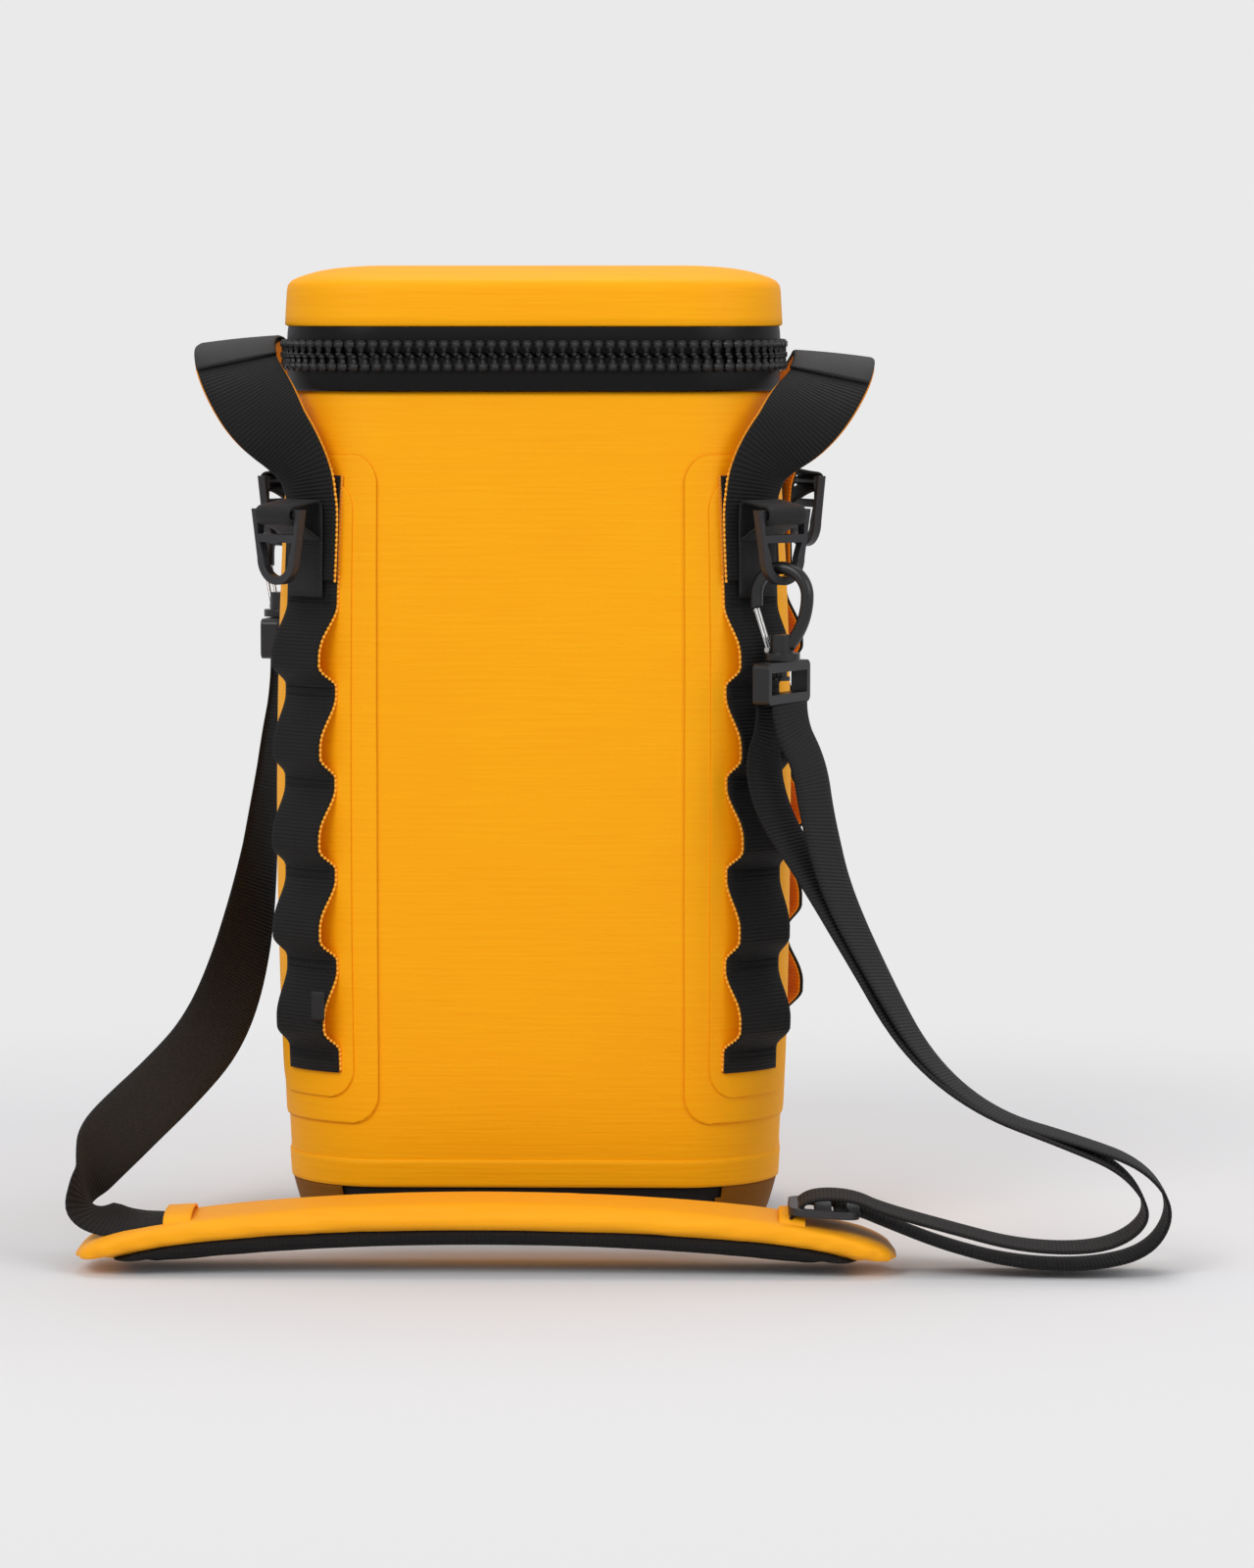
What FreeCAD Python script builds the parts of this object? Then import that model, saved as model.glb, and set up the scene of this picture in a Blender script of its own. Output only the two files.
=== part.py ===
import FreeCAD, Part
import Sketcher
import math
import os

from FreeCAD import Vector

# A soft insulated zip-top bag that stands on its moulded base, with a webbing chain
# down each corner, two side handles, four plastic rings and a clip-on shoulder strap.
# Millimetres. Origin: centre of the footprint on the ground, +Z up, front towards -Y.

DIMENSIONS = {
    # body
    "body_width": 282,
    "body_depth": 215,
    "corner_radius": 60,
    "waist_height": 230,      # height at which the soft wall bulges out the furthest
    "bulge_top": 9,           # how far the wall draws in at the top edge
    "shell_bottom": 33,
    "shell_top": 469,
    "shell_thick": 1.6,
    "foam_thick": 24,
    "liner_thick": 1.6,
    "liner_top": 479,
    # base
    "base_inset_top": 8,
    "base_inset_bottom": 24,
    # weld band and corner patches
    "hem_height": 14,
    "layer_thick": 1,
    "patch_bottom": 68,
    "patch_top": 434,
    "patch_edge_across": 84,
    "patch_edge_deep": 45,
    "patch_round": 16,
    "underlay_edge_across": 98,
    # webbing
    "webbing_width": 38,
    "webbing_thick": 1.6,
    "lining_thick": 0.9,
    "chain_bottom": 96,
    "chain_top": 420,
    "chain_pitch": 50,
    "chain_standoff": 9,
    "chain_angle_front": 42,
    "chain_angle_back": 58,
    # zip
    "tape_inset": 9,
    "tape_thick": 1.6,
    "zip_height": 488,
    "tape_gap": 3.4,
    "tooth_pitch": 6.4,
    "tooth_width": 2.6,
    "tooth_length": 8,
    "tooth_depth": 3,
    # lid
    "lid_bottom": 504,
    "lid_edge": 527,
    "lid_crown": 537,
    "lid_inset": 5.5,
    "lid_foam_bottom": 488,
    # plastic rings and their webbing tabs
    "ring_reach": 23,
    "ring_height_front": 402,
    "ring_height_back": 414,
    "ring_width": 38,
    "ring_drop": 38,
    "ring_thick": 5,
    "ring_bar": 4.5,
    "ring_tab_width": 27,
    # handles
    # hooks
    "hook_width": 26,
    "hook_wire": 7,
    "gate_wire": 2,
    "swivel_radius": 3,
    "clip_turn": 108,         # the strap's clip stands nearly square to the way out
    "clip_slot_width": 34,
    # strap and pad
    "pad_half_length": 213,
    "pad_rise": 17,           # how high the middle of the pad arches off the ground
    "strap_tube": 5,
    "pad_thick": 20,
    "pad_width": 65,
    "pad_mesh_thick": 8,
    "glide_length": 38,
    "glide_width": 46,
}

DOC = FreeCAD.newDocument("cooler_bag")
SHEET = DOC.addObject("Spreadsheet::Sheet", "dims")
NODES = []


def fill_sheet():
    """Write every driving dimension into the sheet, one aliased cell each."""
    for row, (alias, value) in enumerate(DIMENSIONS.items(), start=1):
        SHEET.set(f"A{row}", alias)
        SHEET.set(f"B{row}", str(value))
        SHEET.setAlias(f"B{row}", alias)
    DOC.recompute()


def size(alias):
    """A driving dimension, as the sheet holds it."""
    return float(getattr(SHEET, alias))


def node(obj, name):
    """Name a finished sub-part and put it on the list to be written."""
    obj.Label = name
    NODES.append(obj)
    return obj


def shaped(name, shape):
    """A sub-part whose shape is made by Part's own functions."""
    obj = DOC.addObject("Part::Feature", name)
    obj.Shape = shape
    return node(obj, name)


def bind(obj, **expressions):
    """Bind an object's properties to expressions over the sheet."""
    for prop, expression in expressions.items():
        obj.setExpression(prop, expression)
    return obj


def placed(obj, x="0", y="0", z="0"):
    """Bind an object's position to expressions over the sheet."""
    obj.setExpression("Placement.Base.x", x)
    obj.setExpression("Placement.Base.y", y)
    obj.setExpression("Placement.Base.z", z)
    return obj


# ---- rounded-rectangle bodies --------------------------------------------------------

def rounded_sketch(body, name, inset, height):
    """A rounded rectangle, drawn in by inset from the body's outline, at a height.

    inset and height are expressions over the sheet.
    """
    sketch = body.newObject("Sketcher::SketchObject", name)
    plane = next(f for f in body.Origin.OriginFeatures if f.Role == "XY_Plane")
    sketch.AttachmentSupport = [(plane, "")]
    sketch.MapMode = "FlatFace"
    across, deep, turn = 100.0, 80.0, 30.0
    starts = [
        (Vector(-across + turn, -deep, 0), Vector(across - turn, -deep, 0)),
        (Vector(across, -deep + turn, 0), Vector(across, deep - turn, 0)),
        (Vector(across - turn, deep, 0), Vector(-across + turn, deep, 0)),
        (Vector(-across, deep - turn, 0), Vector(-across, -deep + turn, 0)),
    ]
    centres = [
        Vector(across - turn, -deep + turn, 0),
        Vector(across - turn, deep - turn, 0),
        Vector(-across + turn, deep - turn, 0),
        Vector(-across + turn, -deep + turn, 0),
    ]
    for side, (line, centre) in enumerate(zip(starts, centres)):
        sketch.addGeometry(Part.LineSegment(*line), False)
        first = math.radians(90 * side - 90)
        circle = Part.Circle(centre, Vector(0, 0, 1), turn)
        sketch.addGeometry(Part.ArcOfCircle(circle, first, first + math.pi / 2), False)
    add = sketch.addConstraint
    for edge in range(8):
        add(Sketcher.Constraint("Tangent", edge, 2, (edge + 1) % 8, 1))
    for edge in (0, 4):
        add(Sketcher.Constraint("Horizontal", edge))
        add(Sketcher.Constraint("Vertical", edge + 2))
    for edge in (3, 5, 7):
        add(Sketcher.Constraint("Equal", 1, edge))
    half_width = f"<<dims>>.body_width / 2 - ({inset})"
    half_depth = f"<<dims>>.body_depth / 2 - ({inset})"
    named = [
        ("turn", Sketcher.Constraint("Radius", 1, turn), f"<<dims>>.corner_radius - ({inset})"),
        ("right", Sketcher.Constraint("DistanceX", -1, 1, 2, 1, across), half_width),
        ("left", Sketcher.Constraint("DistanceX", 6, 1, -1, 1, across), half_width),
        ("back", Sketcher.Constraint("DistanceY", -1, 1, 4, 1, deep), half_depth),
        ("front", Sketcher.Constraint("DistanceY", 0, 1, -1, 1, deep), half_depth),
    ]
    for label, constraint, expression in named:
        index = add(constraint)
        sketch.renameConstraint(index, label)
        sketch.setExpression(f"Constraints.{label}", expression)
    sketch.setExpression("AttachmentOffset.Base.z", height)
    return sketch


def rounded_body(name, inset, bottom, height, wall=None, floor="0"):
    """A rounded-rectangle block, or with a wall thickness, a ring or an open tray."""
    body = DOC.addObject("PartDesign::Body", name)
    pad = body.newObject("PartDesign::Pad", f"{name}_pad")
    pad.Profile = rounded_sketch(body, f"{name}_outline", inset, bottom)
    pad.setExpression("Length", height)
    DOC.recompute()
    if wall:
        solid = body.Shape.Volume
        inner = rounded_sketch(body, f"{name}_hollow", f"{inset} + {wall}", f"{bottom} + {floor}")
        pocket = body.newObject("PartDesign::Pocket", f"{name}_pocket")
        pocket.Profile = inner
        pocket.Reversed = True
        pocket.setExpression("Length", f"{height} - ({floor}) + 1")
        DOC.recompute()
        if body.Shape.Volume > 0.95 * solid:
            raise RuntimeError(f"{name}: the pocket cut nothing")
    return node(body, name)


# ---- the soft wall's barrel shape ----------------------------------------------------

def draw_in(height):
    """How far the wall lies inside the full outline at a height."""
    rise = (height - size("waist_height")) / (size("shell_top") - size("waist_height"))
    return size("bulge_top") * rise * rise


def rounded_wire(inset, height):
    """A closed rounded-rectangle wire at a height, drawn in from the full outline."""
    across = size("body_width") / 2 - size("corner_radius")
    deep = size("body_depth") / 2 - size("corner_radius")
    turn = size("corner_radius") - inset
    edges = []
    for side, (x, y) in enumerate(((across, -deep), (across, deep), (-across, deep), (-across, -deep))):
        centre = Vector(x, y, height)
        spots = [
            centre + turn * Vector(math.cos(a), math.sin(a), 0)
            for a in (math.radians(90 * side - 90 + step) for step in (0, 45, 90))
        ]
        edges.append(Part.Arc(*spots).toShape())
    ends = [(edges[i].Vertexes[-1].Point, edges[(i + 1) % 4].Vertexes[0].Point) for i in range(4)]
    sides = [Part.makeLine(*pair) for pair in ends]
    return Part.Wire([edge for pair in zip(edges, sides) for edge in pair])


def barrel(offset, bottom, top, sections=5):
    """A solid that follows the bulging wall, offset outwards, between two heights."""
    wires = []
    for step in range(sections):
        height = bottom + (top - bottom) * step / (sections - 1)
        wires.append(rounded_wire(draw_in(height) - offset, height))
    return Part.makeLoft(wires, True, False)


def layer(lower, upper, bottom, top):
    """A skin that follows the wall between two offsets from it."""
    return barrel(upper, bottom, top).cut(barrel(lower, bottom - 1, top + 1))


def corners():
    """The four corners: name, side of the bag across, side of the bag deep."""
    return (
        ("front_left", -1, -1),
        ("front_right", 1, -1),
        ("back_left", -1, 1),
        ("back_right", 1, 1),
    )


def corner_axis(across, deep):
    """Where the upright axis of a rounded corner stands."""
    return Vector(
        across * (size("body_width") / 2 - size("corner_radius")),
        deep * (size("body_depth") / 2 - size("corner_radius")),
        0,
    )


def corner_outwards(across, deep):
    """The way a corner's chain, tab and ring face."""
    angle = math.radians(size("chain_angle_front" if deep < 0 else "chain_angle_back"))
    return Vector(across * math.sin(angle), deep * math.cos(angle), 0)


# ---- the bag's body ------------------------------------------------------------------

def base_solid(grow, bottom, top):
    """The moulded base: it draws in towards the ground. grow offsets it outwards."""
    reach = size("shell_bottom")
    wires = []
    for part in (0.0, 0.35, 1.0):
        height = bottom + (top - bottom) * part
        ease = (height / reach) ** 0.5
        inset = size("base_inset_bottom") + (size("base_inset_top") - size("base_inset_bottom")) * ease
        wires.append(rounded_wire(inset - grow, height))
    return Part.makeLoft(wires, True, False)


def build_base():
    """The black moulded base and the coated corners that curl under the bag."""
    top = size("shell_bottom")
    shaped("base_tray", base_solid(0, 0, top))
    curl = base_solid(size("shell_thick"), 4, top).cut(base_solid(0, 0, top))
    across = size("underlay_edge_across")
    deep = size("patch_edge_deep")
    pieces = []
    for _, x, y in corners():
        start = Vector(across if x > 0 else -across - 100, deep if y > 0 else -deep - 100, 0)
        box = Part.makeBox(100, 100, top, start)
        pieces += curl.common(box).Solids
    shaped("base_corners", Part.makeCompound(pieces))


def build_walls():
    """Outer shell, weld band, foam, liner and the rim that closes the foam's top."""
    low, high = size("shell_bottom"), size("shell_top")
    wall = size("shell_thick")
    shell = barrel(0, low, high).cut(barrel(-wall, low + wall, high + 1))
    shaped("body_shell", shell)
    shaped("hem_band", layer(0, size("layer_thick"), low, low + size("hem_height")))
    foam_inside = "<<dims>>.tape_inset + 1.4 + <<dims>>.foam_thick"
    outer = barrel(-wall - 0.2, low + wall, high - 1)
    inset = size("tape_inset") + 1.4 + size("foam_thick")
    wires = [rounded_wire(inset, z) for z in (low, high + 2)]
    shaped("wall_foam", outer.cut(Part.makeLoft(wires, True, True)))
    rounded_body("floor_foam", f"{foam_inside} + 0.2", "<<dims>>.shell_bottom + <<dims>>.shell_thick",
                 "<<dims>>.foam_thick")
    floor = "<<dims>>.shell_bottom + <<dims>>.shell_thick + <<dims>>.foam_thick + 0.2"
    rounded_body("inner_liner", f"{foam_inside} + 0.2", floor, f"<<dims>>.liner_top - ({floor})",
                 "<<dims>>.liner_thick", "<<dims>>.liner_thick")
    rounded_body("liner_rim", "<<dims>>.tape_inset + <<dims>>.tape_thick + 0.2", "<<dims>>.shell_top + 0.2",
                 "<<dims>>.liner_top - <<dims>>.shell_top - 0.2", "<<dims>>.foam_thick - 0.6")


def rounded_block(low, high, turn):
    """A box whose four edges along Y are rounded."""
    box = Part.makeBox(high.x - low.x, high.y - low.y, high.z - low.z, low)
    edges = [e for e in box.Edges if abs(e.tangentAt(e.FirstParameter).y) > 0.9]
    return box.makeFillet(turn, edges)


def build_corner_patches():
    """Welded corner patches in two layers, under the webbing chains."""
    thick = size("layer_thick")
    deep = size("patch_edge_deep")
    low, high = size("patch_bottom"), size("patch_top")
    skin = layer(0, thick, low, high)
    under = layer(thick, 2 * thick, low + 14, high - 13)
    unders = []
    for name, x, y in corners():
        for edge, source in ((size("patch_edge_across"), skin), (size("underlay_edge_across"), under)):
            inner = deep if source is skin else deep + 14
            xs = sorted((x * edge, x * 160))
            ys = sorted((y * inner, y * 130))
            trim = 0 if source is skin else 14
            block = rounded_block(Vector(xs[0], ys[0], low + trim), Vector(xs[1], ys[1], high - trim),
                                  size("patch_round"))
            piece = source.common(block)
            if source is skin:
                shaped(f"corner_patch_{name}", piece.Solids[0])
            else:
                unders += piece.Solids
    shaped("chain_backings", Part.makeCompound(unders))


# ---- webbing chains ------------------------------------------------------------------

def chain_profile(lift, thick):
    """Upright outline of a webbing chain: sewn flat, then standing off in each loop.

    x is the distance from the corner's axis and z the height. lift is how far the inner
    face lies off the wall.
    """
    base = size("corner_radius") + 2 * size("layer_thick") + lift
    pitch = size("chain_pitch")
    first = size("chain_bottom") + 9
    knots = [(size("chain_bottom"), 0.0)]
    for loop in range(5):
        start = first + loop * pitch
        for part, reach in ((0.0, 0.0), (0.12, 0.1), (0.3, 0.8), (0.5, 1.0), (0.7, 0.8), (0.88, 0.1)):
            knots.append((start + part * pitch, reach * size("chain_standoff")))
    knots.append((first + 5 * pitch, 0.0))
    knots.append((size("chain_top"), 0.0))
    inner = [Vector(base - draw_in(z) + reach, 0, z) for z, reach in knots]
    outer = [Vector(p.x + thick, 0, p.z) for p in inner]
    inner_curve = Part.BSplineCurve()
    inner_curve.interpolate(inner)
    outer_curve = Part.BSplineCurve()
    outer_curve.interpolate(outer)
    ends = [Part.makeLine(inner[-1], outer[-1]), Part.makeLine(outer[0], inner[0])]
    return Part.Face(Part.Wire([inner_curve.toShape(), ends[0], outer_curve.toShape(), ends[1]]))


def chain_solid(x, y, lift, thick, extra=0.0):
    """A webbing chain on one corner; extra widens it towards the bag's middle."""
    turn = math.degrees(size("webbing_width") / (size("corner_radius") + 2))
    more = math.degrees(extra / (size("corner_radius") + 2))
    outwards = corner_outwards(x, y)
    heading = math.degrees(math.atan2(outwards.y, outwards.x))
    towards_middle = -1 if x * y < 0 else 1
    profile = chain_profile(lift, thick)
    first = heading - turn / 2 - (more if towards_middle < 0 else 0)
    profile.rotate(Vector(0, 0, 0), Vector(0, 0, 1), first)
    solid = profile.revolve(Vector(0, 0, 0), Vector(0, 0, 1), turn + more)
    solid.translate(corner_axis(x, y))
    return solid


def build_chains():
    """Four webbing chains, each a black webbing over a bright lining."""
    lining = size("lining_thick")
    for name, x, y in corners():
        shaped(f"daisy_chain_{name}", chain_solid(x, y, 0.1 + lining, size("webbing_thick")))
        shaped(f"chain_lining_{name}", chain_solid(x, y, 0.05, lining, 1.2))


# ---- zip -----------------------------------------------------------------------------

def zip_path(inset):
    """Points and outward headings along the zip: side, front and side, evenly spaced."""
    across = size("body_width") / 2 - size("corner_radius")
    deep = size("body_depth") / 2 - size("corner_radius")
    turn = size("corner_radius") - inset
    back_stop = math.radians(38)
    legs = [
        ("arc", Vector(-across, deep, 0), math.pi - back_stop, math.pi),
        ("line", Vector(-across - turn, deep, 0), Vector(-across - turn, -deep, 0), math.pi),
        ("arc", Vector(-across, -deep, 0), math.pi, 1.5 * math.pi),
        ("line", Vector(-across, -deep - turn, 0), Vector(across, -deep - turn, 0), 1.5 * math.pi),
        ("arc", Vector(across, -deep, 0), 1.5 * math.pi, 2 * math.pi),
        ("line", Vector(across + turn, -deep, 0), Vector(across + turn, deep, 0), 0.0),
        ("arc", Vector(across, deep, 0), 0.0, back_stop),
    ]
    spots = []
    left = 0.0
    for kind, a, b, c in legs:
        length = (b - a).Length if kind == "line" else turn * abs(c - b)
        along = left
        while along < length:
            part = along / length
            if kind == "line":
                spots.append((a + (b - a) * part, c))
            else:
                heading = b + (c - b) * part
                spots.append((a + turn * Vector(math.cos(heading), math.sin(heading), 0), heading))
            along += size("tooth_pitch") / 2
        left = along - length
    return spots


def build_zip(lower):
    """One side of the zip: its tape, and a row of separate moulded teeth."""
    side = "lower" if lower else "upper"
    gap = size("tape_gap")
    middle = size("zip_height")
    if lower:
        bottom = "<<dims>>.shell_top + 0.1"
        height = "<<dims>>.zip_height - <<dims>>.tape_gap - <<dims>>.shell_top - 0.1"
    else:
        bottom = "<<dims>>.zip_height + <<dims>>.tape_gap"
        height = "<<dims>>.lid_bottom - <<dims>>.zip_height - <<dims>>.tape_gap - 0.1"
    rounded_body(f"{side}_zip_tape", "<<dims>>.tape_inset", bottom, height, "<<dims>>.tape_thick")
    depth, width, length = size("tooth_depth"), size("tooth_width"), size("tooth_length")
    low = middle - gap - 4 if lower else middle + gap + 4 - length
    tape_middle = size("tape_inset") + size("tape_thick")
    teeth = []
    for spot, heading in zip_path(tape_middle)[0 if lower else 1::2]:
        head = Part.makeBox(depth, width, length, Vector(size("tape_thick") + 0.05, -width / 2, low))
        head.rotate(Vector(0, 0, 0), Vector(0, 0, 1), math.degrees(heading))
        head.translate(spot)
        teeth.append(head)
    shaped(f"{side}_zip_teeth", Part.makeCompound(teeth))


# ---- lid -----------------------------------------------------------------------------

def build_lid():
    """The soft lid with its skirt and crown, its foam, its liner and its cloth hinge."""
    bottom, edge, crown = size("lid_bottom"), size("lid_edge"), size("lid_crown")
    inset, skin = size("lid_inset"), 2.2
    outline = [
        (bottom, inset),
        (edge - 4, inset + 0.5),
        (edge, inset + 3),
        (edge + 0.4 * (crown - edge), inset + 11),
        (edge + 0.78 * (crown - edge), inset + 27),
        (crown, inset + 48),
    ]
    outer = Part.makeLoft([rounded_wire(i, z) for z, i in outline], True, True)
    inner = Part.makeLoft([rounded_wire(i + skin, z - skin) for z, i in outline], True, True)
    shaped("lid_shell", outer.cut(inner))
    inside = "<<dims>>.tape_inset + <<dims>>.tape_thick + 0.8"
    rounded_body("lid_foam", inside, "<<dims>>.lid_foam_bottom + 1.8",
                 "<<dims>>.lid_edge - 7 - <<dims>>.lid_foam_bottom")
    rounded_body("lid_liner", f"{inside} + 2", "<<dims>>.lid_foam_bottom", "<<dims>>.liner_thick")
    strip = DOC.addObject("Part::Box", "lid_hinge_strip")
    bind(strip, Length="2 * (<<dims>>.body_width / 2 - <<dims>>.corner_radius) - 30",
         Width="<<dims>>.tape_thick - 0.2", Height="2 * <<dims>>.tape_gap - 0.4")
    placed(strip, "15 - (<<dims>>.body_width / 2 - <<dims>>.corner_radius)",
           "<<dims>>.body_depth / 2 - <<dims>>.tape_inset - <<dims>>.tape_thick + 0.1",
           "<<dims>>.zip_height - <<dims>>.tape_gap + 0.2")
    node(strip, "lid_hinge_strip")


# ---- zip slider ----------------------------------------------------------------------

def build_slider():
    """The slider parked past the last tooth on the back left corner, and its puller."""
    axis = corner_axis(-1, 1)
    heading = 112
    inner = size("corner_radius") - size("tape_inset") + size("tooth_depth") + 1.2
    low, high = size("zip_height") - 10, size("zip_height") + 1.4
    ring = Part.makeCylinder(inner + 2.4, high - low, Vector(0, 0, low), Vector(0, 0, 1), 16)
    ring = ring.cut(Part.makeCylinder(inner, high - low + 2, Vector(0, 0, low - 1)))
    ears = []
    for side in (-1, 1):
        ear = Part.makeBox(4.2, 1.6, 5, Vector(inner + 2.2, 2.2 * side - 0.8, low + 3))
        ear.rotate(Vector(0, 0, 0), Vector(0, 0, 1), 8)
        ears.append(ear)
    slider = ring.fuse(ears)
    pin = Part.makeCylinder(0.7, 5.2, Vector(inner + 4.9, -2.6, low + 5.4), Vector(0, 1, 0))
    pin.rotate(Vector(0, 0, 0), Vector(0, 0, 1), 8)
    slider = slider.fuse(pin)
    hub = Vector(inner + 4.9, 0, low + 5.4)
    tongue = Part.makeBox(1.8, 2.4, 8, Vector(hub.x - 0.9, -1.2, hub.z - 6))
    paddle = Part.makeBox(1.8, 8, 15, Vector(hub.x - 0.9, -4, hub.z - 20))
    boss = Part.makeCylinder(1.5, 2.4, Vector(hub.x, -1.2, hub.z), Vector(0, 1, 0))
    bore = Part.makeCylinder(0.78, 6, Vector(hub.x, -3, hub.z), Vector(0, 1, 0))
    puller = tongue.fuse([paddle, boss]).cut(bore)
    puller.rotate(Vector(0, 0, 0), Vector(0, 0, 1), 8)
    for name, shape in (("zip_slider", slider), ("zip_puller", puller)):
        shape.rotate(Vector(0, 0, 0), Vector(0, 0, 1), heading - 8)
        shape.translate(axis)
        shaped(name, shape)


# ---- plastic rings and the webbing tabs that hold them ---------------------------------

def stand(shape, x, y, height):
    """Turn a shape built around the local bar (+X outwards, +Z up) onto its corner."""
    outwards = corner_outwards(x, y)
    shape.rotate(Vector(0, 0, 0), Vector(0, 0, 1), math.degrees(math.atan2(outwards.y, outwards.x)))
    spot = corner_axis(x, y) + outwards * (size("corner_radius") + size("ring_reach"))
    shape.translate(spot + Vector(0, 0, height))
    return shape


def ring_height(y):
    """The height of a ring's bar: the back pair sits a little higher."""
    return size("ring_height_front" if y < 0 else "ring_height_back")


def tongue_face(half_top, half_low, top, low, thick):
    """An upright plate outline in the local YZ plane: wide at the top, round below."""
    centre = low + half_low
    points = [Vector(0, half_top, top), Vector(0, half_low, centre), Vector(0, 0, low),
              Vector(0, -half_low, centre), Vector(0, -half_top, top)]
    edges = [
        Part.makeLine(points[0], points[1]),
        Part.Arc(points[1], points[2], points[3]).toShape(),
        Part.makeLine(points[3], points[4]),
        Part.makeLine(points[4], points[0]),
    ]
    solid = Part.Face(Part.Wire(edges)).extrude(Vector(thick, 0, 0))
    solid.translate(Vector(-thick / 2, 0, 0))
    return solid


def ring_solid():
    """One moulded ring: a bar for the webbing, an arched bridge, a D opening below."""
    thick, bar, half = size("ring_thick"), size("ring_bar"), size("ring_width") / 2
    drop = size("ring_drop")
    plate = tongue_face(half, half - 4.5, 3, -drop, thick)
    slot_half = size("ring_tab_width") / 2 + 0.8
    upper = Part.makeBox(20, 2 * slot_half, 8, Vector(-10, -slot_half, -10.5))
    over = Part.makeBox(20, 2 * slot_half, 8, Vector(-10, -slot_half, bar / 2))
    lower = tongue_face(half - bar - 1.6, half - 4.5 - bar, -15, -drop + bar, 20)
    ring = plate.cut(upper.fuse([over, lower]))
    start = Vector(0, -slot_half - 0.5, 0)
    barrel_bar = Part.makeCylinder(bar / 2, 2 * slot_half + 1, start, Vector(0, 1, 0))
    stub = Part.makeBox(20, 2 * slot_half, bar + 1.2, Vector(-10, -slot_half, -2.6))
    return ring.cut(stub).fuse(barrel_bar)


def tab_solid(height):
    """Webbing folded round the ring's bar and sewn flat over the chain."""
    half = size("ring_tab_width") / 2
    thick = size("webbing_thick")
    leg_out = 63.9 - size("corner_radius") - size("ring_reach")
    eye = size("ring_bar") / 2 + 0.5
    rolled = Part.makeCylinder(eye + thick, 2 * half, Vector(0, -half, 0), Vector(0, 1, 0))

    def slab(points):
        wire = Part.makePolygon([Vector(a, -half, b) for a, b in points + points[:1]])
        return Part.Face(wire).extrude(Vector(0, 2 * half, 0))

    low = size("chain_bottom") + 9 + 5 * size("chain_pitch") + 2 - height
    leg = slab([(leg_out - thick, low), (leg_out, low), (leg_out, 8), (leg_out - thick, 8)])
    top = slab([(leg_out - thick, 8), (leg_out - thick, 8 - thick), (0, eye), (0, eye + thick)])
    back = slab([(leg_out - 0.5, -12), (leg_out - 0.5, -12 - thick), (0, -eye - thick), (0, -eye)])
    hole = Part.makeCylinder(eye, 2 * half + 2, Vector(0, -half - 1, 0), Vector(0, 1, 0))
    return rolled.fuse([leg, top, back]).cut(hole)


def build_rings():
    """Four rings, each hanging from its own webbing tab."""
    tabs = []
    for name, x, y in corners():
        height = ring_height(y)
        shaped(f"d_ring_{name}", stand(ring_solid(), x, y, height))
        tab = stand(tab_solid(height), x, y, height)
        chain = [DOC.getObject(f"{kind}_{name}").Shape for kind in ("daisy_chain", "chain_lining")]
        tabs += max(tab.cut(chain).Solids, key=lambda solid: solid.Volume).Solids
    shaped("ring_tabs", Part.makeCompound(tabs))


# ---- handles -------------------------------------------------------------------------

def handle_route(x):
    """Hand-set points of a side handle, from the front chain top to the back one."""
    return [
        Vector(x * 122.5, -92.5, 426),
        Vector(x * 139, -88, 452),
        Vector(x * 153, -72, 477),
        Vector(x * 160, -45, 490),
        Vector(x * 161, 0, 493),
        Vector(x * 160, 42, 490),
        Vector(x * 156, 64, 477),
        Vector(x * 146, 77, 452),
        Vector(x * 133, 80, 426),
    ]


def band(points, widths, thick, lift=0.0):
    """A flat band through the points; widths gives the across direction at each."""
    rails = []
    for side, up in ((-1, 0.0), (1, 0.0), (1, 1.0), (-1, 1.0)):
        rails.append([])
        for index, point in enumerate(points):
            ahead = points[min(index + 1, len(points) - 1)] - points[max(index - 1, 0)]
            across = widths[index].normalize()
            normal = ahead.cross(across).normalize()
            rails[-1].append(point + across * (side * size("webbing_width") / 2)
                             + normal * (lift + up * thick))
    wires = []
    for index in range(len(points)):
        corners_here = [rail[index] for rail in rails]
        wires.append(Part.makePolygon(corners_here + corners_here[:1]))
    return Part.makeLoft(wires, True, False)


def build_handles():
    """Two side handles: black webbing, bright lining inside it and a smooth grip."""
    for name, x in (("left", -1), ("right", 1)):
        points = handle_route(x)
        widths = []
        for index in range(len(points)):
            part = index / (len(points) - 1)
            lean = math.sin(math.pi * part)
            sway = math.cos(math.pi * part)
            turned = (0.9 if sway > 0 else 1.5) * x * sway * (1 - lean)
            widths.append(Vector(-1.0, -turned, x * 0.10 * lean))
        thick = size("webbing_thick")
        webbing = band(points, widths, thick, 0.05)
        shaped(f"handle_{name}", webbing)
        shaped(f"handle_lining_{name}", band(points, widths, -size("lining_thick"), -0.05))
        middle = len(points) // 2
        grip = slice(middle - 1, middle + 2)
        cover = band(points[grip], widths[grip], 2.4, thick + 0.1).cut(webbing)
        shaped(f"handle_grip_{name}", max(cover.Solids, key=lambda solid: solid.Volume))


# ---- snap hooks ----------------------------------------------------------------------

HOOKED = (("front", "front_right", 1, -1), ("rear", "back_left", -1, 1))


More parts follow.
